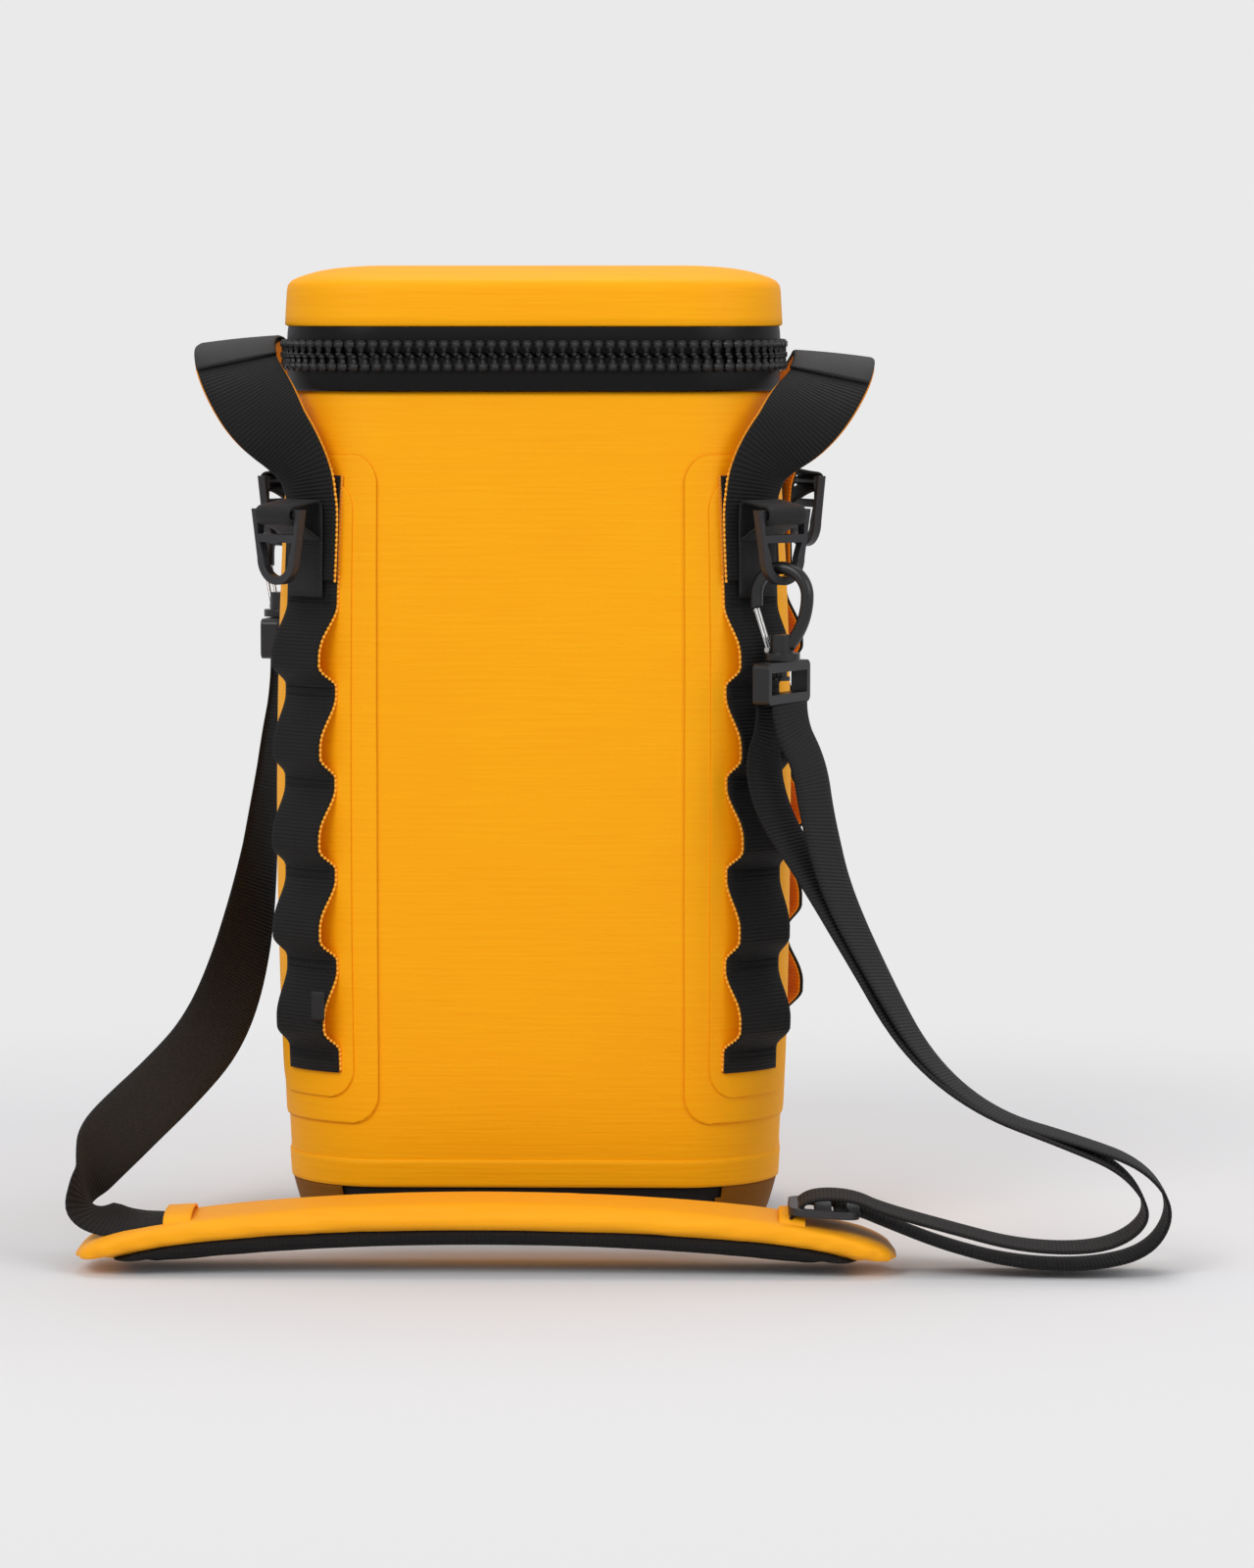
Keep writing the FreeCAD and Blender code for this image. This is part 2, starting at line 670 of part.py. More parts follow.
def hook_pieces():
    """A snap hook below a ring, built around the ring's bar: body, gate, base."""
    ring_inside = -size("ring_drop") + size("ring_bar")
    wire = size("hook_wire") / 2
    reach = size("hook_width") / 2 + wire - 1.5
    top = ring_inside + 1.4
    centre = top - (reach - wire)
    sweep = 40.0
    low_angle = math.radians(-43)
    right = Vector(reach, 0, centre)
    hub = right - Vector(sweep, 0, 0)
    turns = (low_angle / 2, low_angle)
    on_spine = [hub + Vector(math.cos(turn), 0, math.sin(turn)) * sweep for turn in turns]
    bow = [
        Part.makeLine(Vector(-reach, 0, centre - 7), Vector(-reach, 0, centre)),
        Part.Arc(Vector(-reach, 0, centre), Vector(0, 0, centre + reach), right).toShape(),
        Part.Arc(right, *on_spine).toShape(),
    ]
    section = Part.Wire(Part.Circle(bow[0].Vertexes[0].Point, Vector(0, 0, 1), wire).toShape())
    body = Part.Wire(bow).makePipeShell([section], True, False)
    neck = centre - size("hook_wire") * 3.6
    collar = Part.makeCylinder(6.5, 10, Vector(0, 0, neck - 6))
    flange = Part.makeCylinder(10, 4, Vector(0, 0, neck - 10))
    pin = Part.makeCylinder(size("swivel_radius"), 12, Vector(0, 0, neck - 21))
    head = Part.makeCylinder(4.6, 2, Vector(0, 0, neck - 21))
    body = body.fuse([collar, flange, pin, head])
    nose = Vector(-reach, 0, centre - 7.4)
    heel = Vector(-reach + 7.4, 0, neck - 4.4)
    gate = []
    for side in (-1.9, 1.9):
        run = heel - nose
        start = nose + Vector(0, side, 0)
        gate.append(Part.makeCylinder(size("gate_wire") / 2, run.Length, start, run))
    hinge = Part.makeCylinder(size("gate_wire") / 2 + 0.4, 6, heel + Vector(0, -3, 0), Vector(0, 1, 0))
    tip = Part.makeCylinder(size("gate_wire") / 2, 3.8, nose + Vector(0, -1.9, -1), Vector(0, 1, 0))
    gate = gate[0].fuse([gate[1], hinge, tip])
    room = Part.makeBox(16, 7, 6, heel + Vector(-13.6, -3.5, -3))
    body = body.cut(room)
    for turn in range(0, 27, 3):
        swing = Part.makeBox(3, 7, run.Length + 0.7, Vector(-1.5, -3.5, 0))
        swing.rotate(Vector(0, 0, 0), Vector(0, 1, 0), turn - math.degrees(math.atan2(run.x, -run.z)))
        swing.translate(heel)
        body = body.cut(swing)
    slot = size("clip_slot_width") + 5
    top_of_base = neck - 10.4
    base = Part.makeBox(slot + 7, 10, 23, Vector(-slot / 2 - 3.5, -5, top_of_base - 23))
    base = base.makeFillet(3.5, [e for e in base.Edges if abs(e.tangentAt(e.FirstParameter).y) > 0.9])
    mouth = Part.makeBox(slot, 12, 12, Vector(-slot / 2, -6, top_of_base - 17.5))
    bore = Part.makeCylinder(size("swivel_radius") + 0.06, 30, Vector(0, 0, top_of_base - 12))
    base = base.cut(mouth.fuse(bore))
    return body, gate, base


def build_hooks():
    """Both snap hooks where they hang on their rings."""
    for name, _, x, y in HOOKED:
        body, gate, base = hook_pieces()
        hook_turn = 24 if y < 0 else 156
        for label, shape, turn in (("hook_body", body, hook_turn), ("hook_gate", gate, hook_turn),
                                   ("clip_base", base, size("clip_turn"))):
            shape.rotate(Vector(0, 0, 0), Vector(0, 0, 1), turn)
            shaped(f"{label}_{name}", stand(shape, x, y, ring_height(y)))


# ---- shoulder strap and pad ------------------------------------------------------------

# Each route is the middle line of one layer of webbing, from its hook to its far end.
STRAP_FRONT_OUTER = [
    (141, -111.5, 299.7), (141, -111.5, 288), (152, -109, 266), (156, -112, 238),
    (166, -124, 198), (188, -141, 155), (214, -155, 110), (250, -166, 82),
    (295, -172, 70), (330, -176, 58), (346, -179, 36), (334, -182, 13),
    (303, -184, 5), (262, -183, 6), (224, -180, 15), (186, -177, 29),
]
STRAP_FRONT_INNER = [
    (132.5, -106.5, 299.7), (132.5, -106.5, 288), (125.5, -109, 266), (133, -117, 238),
    (152, -126, 210), (178, -141, 166), (204, -156, 118), (241, -169, 87),
    (287, -177, 70), (318, -181, 57), (333, -183, 36), (324, -184, 22),
    (302, -185, 14), (264, -184, 15), (228, -181, 24), (188, -178, 36),
]
STRAP_REAR = [
    (-151.4, 91.5, 311.7), (-151.4, 91.5, 298), (-156.5, 90, 266), (-161, 84, 222),
    (-168, 72, 165), (-177, 52, 124), (-188, 16, 98), (-204, -44, 82),
    (-222, -106, 68), (-235, -146, 56), (-241, -163, 42), (-237, -171, 30),
    (-222, -175, 25), (-204, -176, 26), (-186, -177, 27.5), (-160, -177, 27),
    (-104, -177, 28), (-46, -176, 30), (14, -175, 30), (70, -176, 28),
    (124, -176, 25),
]


def strap_tube(name, route):
    """A tube along straight runs joined by tangent arcs, and its volume checked."""
    points = [Vector(*p) for p in route]
    runs = [(b - a).Length for a, b in zip(points, points[1:])]
    edges = []
    cursor = points[0]
    length = 0.0
    for index in range(1, len(points) - 1):
        before, here, after = points[index - 1:index + 2]
        into = (here - before).normalize()
        away = (after - here).normalize()
        turn = into.getAngle(away)
        cut = 0.45 * min(runs[index - 1], runs[index])
        radius = cut / math.tan(turn / 2)
        first, last = here - into * cut, here + away * cut
        sag = radius * (1 / math.cos(turn / 2) - 1)
        middle = here + (away - into).normalize() * sag
        edges += [Part.makeLine(cursor, first), Part.Arc(first, middle, last).toShape()]
        length += (first - cursor).Length + radius * turn
        print(f"{name}: bend {index}, radius {radius:.0f}")
        cursor = last
    edges.append(Part.makeLine(cursor, points[-1]))
    length += (points[-1] - cursor).Length
    section = Part.Circle(points[0], points[1] - points[0], size("strap_tube") / 2).toShape()
    tube = Part.Wire(edges).makePipeShell([Part.Wire(section)], True, False)
    ideal = math.pi * (size("strap_tube") / 2) ** 2 * length
    print(f"{name}: length {length:.0f}, volume over section times length {tube.Volume / ideal:.4f}")
    if abs(tube.Volume / ideal - 1) > 0.01:
        raise RuntimeError(f"{name}: the tube's volume is wrong")
    shaped(name, tube)


def pad_layer(low_shift, thick):
    """One layer of the arched shoulder pad, round-ended in plan."""
    half, rise, width, beyond = size("pad_half_length"), size("pad_rise"), size("pad_width"), 8.0
    radius = (half * half + rise * rise) / (2 * rise)
    centre = rise - radius + low_shift
    middle = Vector(-22, -175, centre)
    start = middle - Vector(0, width / 2 + beyond, 0)
    outer = Part.makeCylinder(radius + thick, width + 2 * beyond, start, Vector(0, 1, 0))
    inner = Part.makeCylinder(radius, width + 4 * beyond, start - Vector(0, beyond, 0), Vector(0, 1, 0))
    plan = Part.makeBox(2 * half, width, 90, Vector(-22 - half, -175 - width / 2, -5))
    upright = [e for e in plan.Edges if abs(e.tangentAt(e.FirstParameter).z) > 0.9]
    return plan.makeFillet(20, upright).common(outer).cut(inner)


def build_strap():
    """Both front layers, the rear webbing, the pad's two layers, keepers and tri-glide."""
    strap_tube("strap_front_outer", STRAP_FRONT_OUTER)
    strap_tube("strap_front_inner", STRAP_FRONT_INNER)
    strap_tube("strap_rear", STRAP_REAR)
    mesh, full = size("pad_mesh_thick"), size("pad_thick")
    shaped("pad_mesh", pad_layer(0.2, mesh))
    shaped("pad_cushion", pad_layer(mesh + 0.3, full - mesh))
    keepers = []
    for x in (-186, 142):
        keepers.append(Part.makeBox(15, 44, 2, Vector(x - 7.5, -197, 28)))
    shaped("pad_keepers", Part.makeCompound(keepers))
    length, width = size("glide_length"), size("glide_width")
    plate = Part.makeBox(length, width, 4, Vector(140, -177 - width / 2, 32))
    plate = plate.makeFillet(9, [e for e in plate.Edges if abs(e.tangentAt(e.FirstParameter).z) > 0.9])
    slots = [Part.makeBox(8, width - 9, 6, Vector(x, -177 - width / 2 + 4.5, 31)) for x in (146, 163)]
    glide = plate.cut(slots[0].fuse(slots[1]))
    glide.rotate(Vector(159, -177, 34), Vector(0, 1, 0), 4)
    shaped("tri_glide", glide)


def build_label():
    """The small bare tab sewn beside the front left chain."""
    tab = DOC.addObject("Part::Box", "label_tab")
    bind(tab, Length="7.4", Width="1", Height="16")
    placed(tab, "-120", "-(<<dims>>.body_depth / 2 + 5.8)", "126")
    node(tab, "label_tab")


# ---- build, check and write ------------------------------------------------------------

def build_all():
    """Make every sub-part."""
    fill_sheet()
    build_base()
    build_walls()
    build_corner_patches()
    build_chains()
    build_zip(lower=True)
    build_zip(lower=False)
    build_lid()
    build_slider()
    build_rings()
    build_handles()
    build_hooks()
    build_strap()
    build_label()
    DOC.recompute()


def write_all():
    """Check every object and sub-part, then write one file for each node."""
    for obj in DOC.Objects:
        if "Invalid" in obj.State or "Error" in obj.State:
            raise RuntimeError(f"{obj.Label} did not recompute")
    for obj in NODES:
        if obj.Shape.isNull() or not obj.Shape.isValid():
            raise RuntimeError(f"{obj.Label} has no valid shape")
    os.makedirs("parts", exist_ok=True)
    for obj in NODES:
        obj.Shape.exportStep(f"parts/{obj.Label}.step")
    print(f"{len(NODES)} nodes written")


build_all()
write_all()
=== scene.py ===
"""Looks of a soft insulated bag with webbing chains, side handles and a padded shoulder strap.

Metres, in the part's own frame: origin at the centre of the footprint, +Z up, front to -Y.
"""

from __future__ import annotations

import logging
import math
from contextlib import contextmanager
from dataclasses import dataclass, field
from enum import Enum
from typing import Any, Callable, Iterator, Sequence

import bmesh
import bpy
from mathutils import Euler, Matrix, Vector, noise

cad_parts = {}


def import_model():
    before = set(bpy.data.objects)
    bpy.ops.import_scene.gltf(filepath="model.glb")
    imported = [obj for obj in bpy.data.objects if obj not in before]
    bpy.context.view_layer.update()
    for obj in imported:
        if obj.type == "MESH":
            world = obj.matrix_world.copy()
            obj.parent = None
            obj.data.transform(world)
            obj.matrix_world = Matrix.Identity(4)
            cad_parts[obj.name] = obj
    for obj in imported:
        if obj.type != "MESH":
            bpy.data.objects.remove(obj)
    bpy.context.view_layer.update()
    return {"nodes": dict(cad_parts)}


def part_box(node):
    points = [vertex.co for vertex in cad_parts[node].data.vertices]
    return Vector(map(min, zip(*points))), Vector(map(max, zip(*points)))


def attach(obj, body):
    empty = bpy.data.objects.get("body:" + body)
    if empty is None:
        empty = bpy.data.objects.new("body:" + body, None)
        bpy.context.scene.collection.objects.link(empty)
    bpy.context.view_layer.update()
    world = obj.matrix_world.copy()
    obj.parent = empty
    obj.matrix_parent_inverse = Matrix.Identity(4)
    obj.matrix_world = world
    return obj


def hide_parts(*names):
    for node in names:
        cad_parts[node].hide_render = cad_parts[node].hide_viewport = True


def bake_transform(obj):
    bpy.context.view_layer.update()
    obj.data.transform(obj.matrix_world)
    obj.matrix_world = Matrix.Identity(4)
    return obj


LOG = logging.getLogger("bag")
MM = 0.001
Piece = bpy.types.Object
Line = Sequence[Vector]
Triple = tuple[float, float, float]


# ---- colour and materials ----------------------------------------------------------------------

def linear(hex_colour: str) -> tuple[float, float, float, float]:
    """Turn an sRGB hex colour into linear RGBA.

    Args:
        hex_colour: six hex digits, such as "1c1b1a".

    Returns:
        Linear red, green, blue and an alpha of 1.
    """
    parts = [int(hex_colour[i:i + 2], 16) / 255 for i in (0, 2, 4)]
    return (*[c / 12.92 if c <= 0.04045 else ((c + 0.055) / 1.055) ** 2.4 for c in parts], 1.0)


def feed(socket: bpy.types.NodeSocket, value: Any) -> None:
    """Link an output to an input, or set the input to a plain value."""
    if isinstance(value, bpy.types.NodeSocket):
        socket.id_data.links.new(value, socket)
    else:
        socket.default_value = value


def add_node(tree: bpy.types.NodeTree, kind: str, inputs: dict[int | str, Any] | None = None,
             **settings: Any) -> bpy.types.Node:
    """Add a node with its settings and links.

    Args:
        tree: the tree it goes into.
        kind: the node's type.
        inputs: what each input gets, by name or number: a value, or another node's output.
        settings: the node's own settings.

    Returns:
        The new node.
    """
    node = tree.nodes.new(kind)
    for name, value in settings.items():
        setattr(node, name, value)
    for slot, value in (inputs or {}).items():
        feed(node.inputs[slot], value)
    return node


class Pattern(Enum):
    """The surface pattern that a finish carries."""

    CROSS_RIBS = "fine irregular ribs across the cloth"
    WEBBING = "woven ribs across a strap"
    SPACER_MESH = "small round holes in a spacer knit"
    GRAIN = "fine moulded grain"
    FOAM = "closed foam cells"


# Cells a metre of the slow mottling that every finish has, and of a rib along the cloth.
MOTTLE_CELLS = (14, 14, 14)
RIB_RUNS = 18
# How much the mottling changes the roughness.
ROUGH_SPREAD = 0.14


@dataclass(frozen=True)
class Finish:
    """One real finish: its colours, gloss and pattern at real scale."""

    name: str
    colour: str
    second: str
    roughness: float
    pattern: Pattern
    pitch_mm: float
    depth_mm: float
    specular: float = 0.4
    metallic: float = 0.0
    sheen: float = 0.0
    edge_mm: float = 0.0

    def make(self) -> bpy.types.Material:
        """Build the finish as a node material.

        Returns:
            The material, with its pattern driving colour, roughness and bump.
        """
        material = bpy.data.materials.new(self.name)
        material.use_nodes = True
        tree = material.node_tree
        height = self._pattern(tree)
        mottle = self._noise(tree, MOTTLE_CELLS, 3.0)
        patchy = add_node(tree, "ShaderNodeMath", {0: mottle, 1: 0.45}, operation="MULTIPLY")
        # The pattern's crests take more of the second colour; on the webbing that lighter colour is
        # a painted highlight.
        mixed = add_node(tree, "ShaderNodeMath", {0: height, 1: 0.55, 2: patchy.outputs[0]},
                         operation="MULTIPLY_ADD")
        blend = add_node(tree, "ShaderNodeMix", {0: mixed.outputs[0], 6: linear(self.colour),
                                                 7: linear(self.second)}, data_type="RGBA")
        rough = add_node(tree, "ShaderNodeMath", {0: mottle, 1: ROUGH_SPREAD,
                                                  2: self.roughness - ROUGH_SPREAD / 2},
                         operation="MULTIPLY_ADD")
        bump = add_node(tree, "ShaderNodeBump", {"Strength": 1.0, "Distance": self.depth_mm * MM,
                                                 "Height": height})
        if self.edge_mm:
            edge = add_node(tree, "ShaderNodeBevel", {"Radius": self.edge_mm * MM}, samples=6)
            feed(bump.inputs["Normal"], edge.outputs[0])
        shader = tree.nodes["Principled BSDF"]
        for slot, value in (("Metallic", self.metallic), ("Specular IOR Level", self.specular),
                            ("Sheen Weight", self.sheen), ("Base Color", blend.outputs[2]),
                            ("Roughness", rough.outputs[0]), ("Normal", bump.outputs[0])):
            feed(shader.inputs[slot], value)
        return material

    def _noise(self, tree: bpy.types.NodeTree, per_metre: Triple,
               detail: float) -> bpy.types.NodeSocket:
        """Add a noise pattern with so many cells a metre along each axis."""
        place = add_node(tree, "ShaderNodeTexCoord")
        mapping = add_node(tree, "ShaderNodeMapping", {
            0: place.outputs["Object"], "Scale": per_metre})
        grain = add_node(tree, "ShaderNodeTexNoise", {"Vector": mapping.outputs[0], "Scale": 1.0,
                                                      "Detail": detail})
        return grain.outputs["Fac"]

    def _pattern(self, tree: bpy.types.NodeTree) -> bpy.types.NodeSocket:
        """Add the nodes of this finish's pattern and return its height."""
        cells = 1000 / self.pitch_mm
        if self.pattern is Pattern.CROSS_RIBS:
            return self._noise(tree, (RIB_RUNS, RIB_RUNS, cells), 2.0)
        if self.pattern is Pattern.WEBBING:
            place = add_node(tree, "ShaderNodeTexCoord")
            ribs = add_node(tree, "ShaderNodeTexWave", {
                "Scale": math.pi / 10 * cells, "Distortion": 0.5, "Detail": 2.0,
                "Detail Scale": 3.0, "Vector": place.outputs["UV"]})
            return ribs.outputs["Fac"]
        if self.pattern is Pattern.SPACER_MESH:
            place = add_node(tree, "ShaderNodeTexCoord")
            holes = add_node(tree, "ShaderNodeTexVoronoi", {
                "Scale": cells, "Randomness": 0.25, "Vector": place.outputs["Object"]})
            return holes.outputs["Distance"]
        return self._noise(tree, (cells, cells, cells), 4.0)


# Polyurethane-coated nylon, calendered: satin yellow-orange with fine ribs across.
COATED_CLOTH = Finish("coated_cloth", "fca000", "ffb502", 0.52, Pattern.CROSS_RIBS, 1.9, 0.30, 0.16)
# The same cloth on the pad, a touch lighter as painted light for the way it lies under the lamps.
LIT_PAD_CLOTH = Finish("pad_cloth_painted_light", "fa9f02", "ffb208", 0.55, Pattern.CROSS_RIBS, 1.8, 0.22, 0.25,
                   sheen=0.03)
# The same cloth where it curls under the bag, with painted shade: a brown, darkened copy of it.
SHADED_CURL_CLOTH = Finish("painted_shade_curled_cloth", "6f4302", "8a5404", 0.6, Pattern.CROSS_RIBS, 1.9, 0.2, 0.15)
# Black polyester webbing, woven: matt, with ribs drawn coarser than its threads so that they show;
# its lighter second colour on the rib crests is painted highlight, mixed with tone that varies at
# random.
WEBBING = Finish("black_webbing", "090908", "211f1e", 0.74, Pattern.WEBBING, 2.1, 0.5, 0.22,
                 sheen=0.03)
# Finer-faced polyester webbing of the ring tabs and grips: smoother and a little lighter.
SMOOTH_WEBBING = Finish("smooth_webbing", "131211", "201f1e", 0.60, Pattern.WEBBING, 1.3, 0.16,
                        0.28, sheen=0.04)
# Bright polyester lining woven under the black webbing.
LINING = Finish("orange_lining", "e8820c", "f6a62e", 0.7, Pattern.WEBBING, 2.2, 0.3, 0.25)
# Bright selvedge thread, drawn a little coarse so that it shows.
SELVEDGE = Finish("selvedge_thread", "ffa81a", "ffbe4a", 0.6, Pattern.GRAIN, 1.0, 0.05, 0.3)
# Polyurethane-coated zip tape: smooth, near black.
ZIP_TAPE = Finish("zip_tape", "050404", "090807", 0.42, Pattern.GRAIN, 0.8, 0.03, 0.2)
# Moulded acetal teeth and slider: near black like the tape, drawn dark grey as painted highlight,
# with a soft shine on each edge.
ZIP_PLASTIC = Finish("zip_plastic", "141312", "1e1d1c", 0.40, Pattern.GRAIN, 0.6, 0.02, 0.5,
                     edge_mm=0.5)
# Moulded acetal rings and tri-glide: satin dark grey.
RING_PLASTIC = Finish("ring_plastic", "232123", "2d2b2d", 0.38, Pattern.GRAIN, 0.7, 0.02, 0.45,
                      edge_mm=1.3)
# Powder-coated zinc snap hook: satin black.
HOOK_COAT = Finish("hook_coat", "141313", "1e1d1d", 0.34, Pattern.GRAIN, 0.5, 0.02, 0.5,
                   edge_mm=0.8)
# Drawn stainless wire: bright.
GATE_WIRE = Finish("gate_wire", "b9b6b2", "d8d6d2", 0.25, Pattern.GRAIN, 1.5, 0.01, 0.5,
                   metallic=1.0)
# Moulded thermoplastic rubber base: dull black.
BASE_RUBBER = Finish("base_rubber", "0e0d0c", "181614", 0.7, Pattern.GRAIN, 1.2, 0.10, 0.3,
                     edge_mm=1.5)
# Knitted spacer mesh under the pad: matt, pierced by small holes.
SPACER_MESH = Finish("spacer_mesh", "0b0a0a", "252322", 0.85, Pattern.SPACER_MESH, 2.4, 0.7, 0.2)
# Closed-cell foam, cut: pale and dull.
FOAM = Finish("insulation_foam", "d9d8d2", "c9c8c2", 0.85, Pattern.FOAM, 1.5, 0.2, 0.2)
# Welded polyurethane film of the inside: pale grey with a low shine.
LINER_FILM = Finish("liner_film", "8f9193", "9b9d9f", 0.32, Pattern.GRAIN, 6.0, 0.25, 0.5)
# Woven label tab, left bare.
LABEL_CLOTH = Finish("label_cloth", "1a1919", "262525", 0.6, Pattern.CROSS_RIBS, 0.6, 0.05, 0.3)


@dataclass
class Finishes:
    """Every finish of the bag, each made once."""

    made: dict[str, bpy.types.Material] = field(default_factory=dict)

    def of(self, finish: Finish) -> bpy.types.Material:
        """The material of a finish, made at first use."""
        if finish.name not in self.made:
            self.made[finish.name] = finish.make()
        return self.made[finish.name]

    def dress(self, piece: Piece, finish: Finish) -> None:
        """Give a piece, or a CAD node, one finish all over."""
        piece.data.materials.clear()
        piece.data.materials.append(self.of(finish))


FINISHES = Finishes()


# ---- mesh helpers ------------------------------------------------------------------------------

def link(mesh: bpy.types.Mesh, name: str) -> Piece:
    """Put a mesh into the scene as an object at the origin."""
    piece = bpy.data.objects.new(name, mesh)
    bpy.context.scene.collection.objects.link(piece)
    for polygon in mesh.polygons:
        polygon.use_smooth = True
    return piece


def skin_mesh(name: str, rings: Sequence[Line], across_m: Sequence[float],
              along_m: Sequence[float], closed: bool, caps: bool) -> Piece:
    """Build a skin from rings of points, with a UV map in metres.

    Args:
        name: the piece's name.
        rings: one list of points for each ring, all of one length.
        across_m: the second UV coordinate of each point in a ring.
        along_m: the first UV coordinate of each ring.
        closed: whether each ring joins up with itself.
        caps: whether the first and last rings are filled.

    Returns:
        The new object.
    """
    count = len(rings[0])
    points = [tuple(p) for ring in rings for p in ring]
    faces: list[tuple[int, ...]] = []
    maps: list[list[tuple[float, float]]] = []
    span = count if closed else count - 1
    for row in range(len(rings) - 1):
        for col in range(span):
            after = (col + 1) % count
            faces.append((row * count + col, row * count + after, (row + 1) * count + after,
                          (row + 1) * count + col))
            maps.append([(along_m[row], across_m[col]), (along_m[row], across_m[after]),
                         (along_m[row + 1], across_m[after]), (along_m[row + 1], across_m[col])])
    if caps:
        last = (len(rings) - 1) * count
        faces.append(tuple(reversed(range(count))))
        maps.append([(along_m[0], across_m[c]) for c in reversed(range(count))])
        faces.append(tuple(range(last, last + count)))
        maps.append([(along_m[-1], across_m[c]) for c in range(count)])
    mesh = bpy.data.meshes.new(name)
    mesh.from_pydata(points, [], faces)
    layer = mesh.uv_layers.new(name="UVMap")
    flat = [value for group in maps for pair in group for value in pair]
    layer.data.foreach_set("uv", flat)
    mesh.update()
    return link(mesh, name)


@contextmanager
def editing(piece: Piece) -> Iterator[bmesh.types.BMesh]:
    """Edit a piece's mesh in place."""
    shape = bmesh.new()
    shape.from_mesh(piece.data)
    yield shape
    shape.to_mesh(piece.data)
    shape.free()


def outwards(piece: Piece) -> Piece:
    """Turn every face of a closed piece outwards."""
    with editing(piece) as shape:
        bmesh.ops.recalc_face_normals(shape, faces=shape.faces)
    return piece


def capped(piece: Piece) -> Piece:
    """Fill the open ends of a skin."""
    with editing(piece) as shape:
        edges = [edge for edge in shape.edges if edge.is_boundary]
        bmesh.ops.holes_fill(shape, edges=edges, sides=0)
    return piece


def finished(piece: Piece, finish: Finish, node: str, body: str = "") -> Piece:
    """Dress a piece, and say what it replaces and the body it rides.

    Args:
        piece: the finished mesh.
        finish: its material.
        node: the construction node that it stands for.
        body: the body it rides, or nothing where it rides or blends later.

    Returns:
        The same piece.
    """
    FINISHES.dress(piece, finish)
    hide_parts(node)
    if body:
        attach(piece, body)
    return piece


def thicken(piece: Piece, thick: float, offset: float = 1.0) -> Piece:
    """Give an open skin a thickness, and keep the result as a plain mesh.

    Args:
        piece: the open skin.
        thick: its thickness in metres.
        offset: 1 grows outwards and -1 inwards.

    Returns:
        The same object with its new mesh.
    """
    solid = piece.modifiers.new("thickness", "SOLIDIFY")
    solid.thickness = thick
    solid.offset = offset
    return applied(piece)


def applied(piece: Piece) -> Piece:
    """Make the result of a piece's modifiers its plain mesh."""
    graph = bpy.context.evaluated_depsgraph_get()
    mesh = bpy.data.meshes.new_from_object(piece.evaluated_get(graph), depsgraph=graph)
    piece.modifiers.clear()
    piece.data = mesh
    for polygon in mesh.polygons:
        polygon.use_smooth = True
    return piece


def curve_line(points: Line, smooth: int = 8) -> list[Vector]:
    """Points along the smooth NURBS line that has these control points.

    Args:
        points: the control points.
        smooth: points made for each control point.

    Returns:
        Evenly numbered points on the line, in order.
    """
    curve = bpy.data.curves.new("line", "CURVE")
    curve.dimensions = "3D"
    curve.resolution_u = smooth
    spline = curve.splines.new("NURBS")
    spline.points.add(len(points) - 1)
    for slot, point in zip(spline.points, points):
        slot.co = (*point, 1.0)
    spline.order_u = 3
    spline.use_endpoint_u = True
    carrier = bpy.data.objects.new("line", curve)
    bpy.context.scene.collection.objects.link(carrier)
    graph = bpy.context.evaluated_depsgraph_get()
    mesh = bpy.data.meshes.new_from_object(carrier.evaluated_get(graph), depsgraph=graph)
    line = [Vector(v.co) for v in mesh.vertices]
    bpy.data.objects.remove(carrier)
    bpy.data.meshes.remove(mesh)
    return line


def lengths(line: Line) -> list[float]:
    """How far along the line each of its points lies."""
    along = [0.0]
    for before, after in zip(line, line[1:]):
        along.append(along[-1] + (after - before).length)
    return along


def ribbon(name: str, line: Line, across: Line, width: float,
           thick: float, lift: float = 0.0, crown: float = 0.0,
           shares: Sequence[float] = ()) -> Piece:
    """A flat woven strap with soft edges along a line.

    Args:
        name: the piece's name.
        line: the middle line of the strap.
        across: the strap's width direction at each point.
        width: the strap's width.
        thick: its thickness.
        lift: how far its middle lies off the line, along its face.
        crown: how far the middle of its face stands above its edges.
        shares: how much of the width the strap has at each point, all of it by default.

    Returns:
        The strap, closed, with a UV map in metres along and across it.
    """
    steps = (-0.5, -0.47, -0.3, -0.1, 0.1, 0.3, 0.47, 0.5)
    rings = []
    for index, point in enumerate(line):
        ahead = line[min(index + 1, len(line) - 1)] - line[max(index - 1, 0)]
        ahead.normalize()
        side = across[index] - ahead * across[index].dot(ahead)
        side.normalize()
        face = ahead.cross(side)
        wide = width * (shares[index] if shares else 1.0)
        ring = []
        for top in (1, -1):
            for step in steps if top > 0 else reversed(steps):
                round_off = 0.35 if abs(step) > 0.49 else 1.0
                rise = lift + crown * (1 - 4 * step * step) + top * thick / 2 * round_off
                ring.append(point + side * (step * wide) + face * rise)
        rings.append(ring)
    spread = [s * width for s in steps] + [s * width for s in reversed(steps)]
    return outwards(skin_mesh(name, rings, spread, lengths(line), True, True))


# ---- the bag's form ----------------------------------------------------------------------------

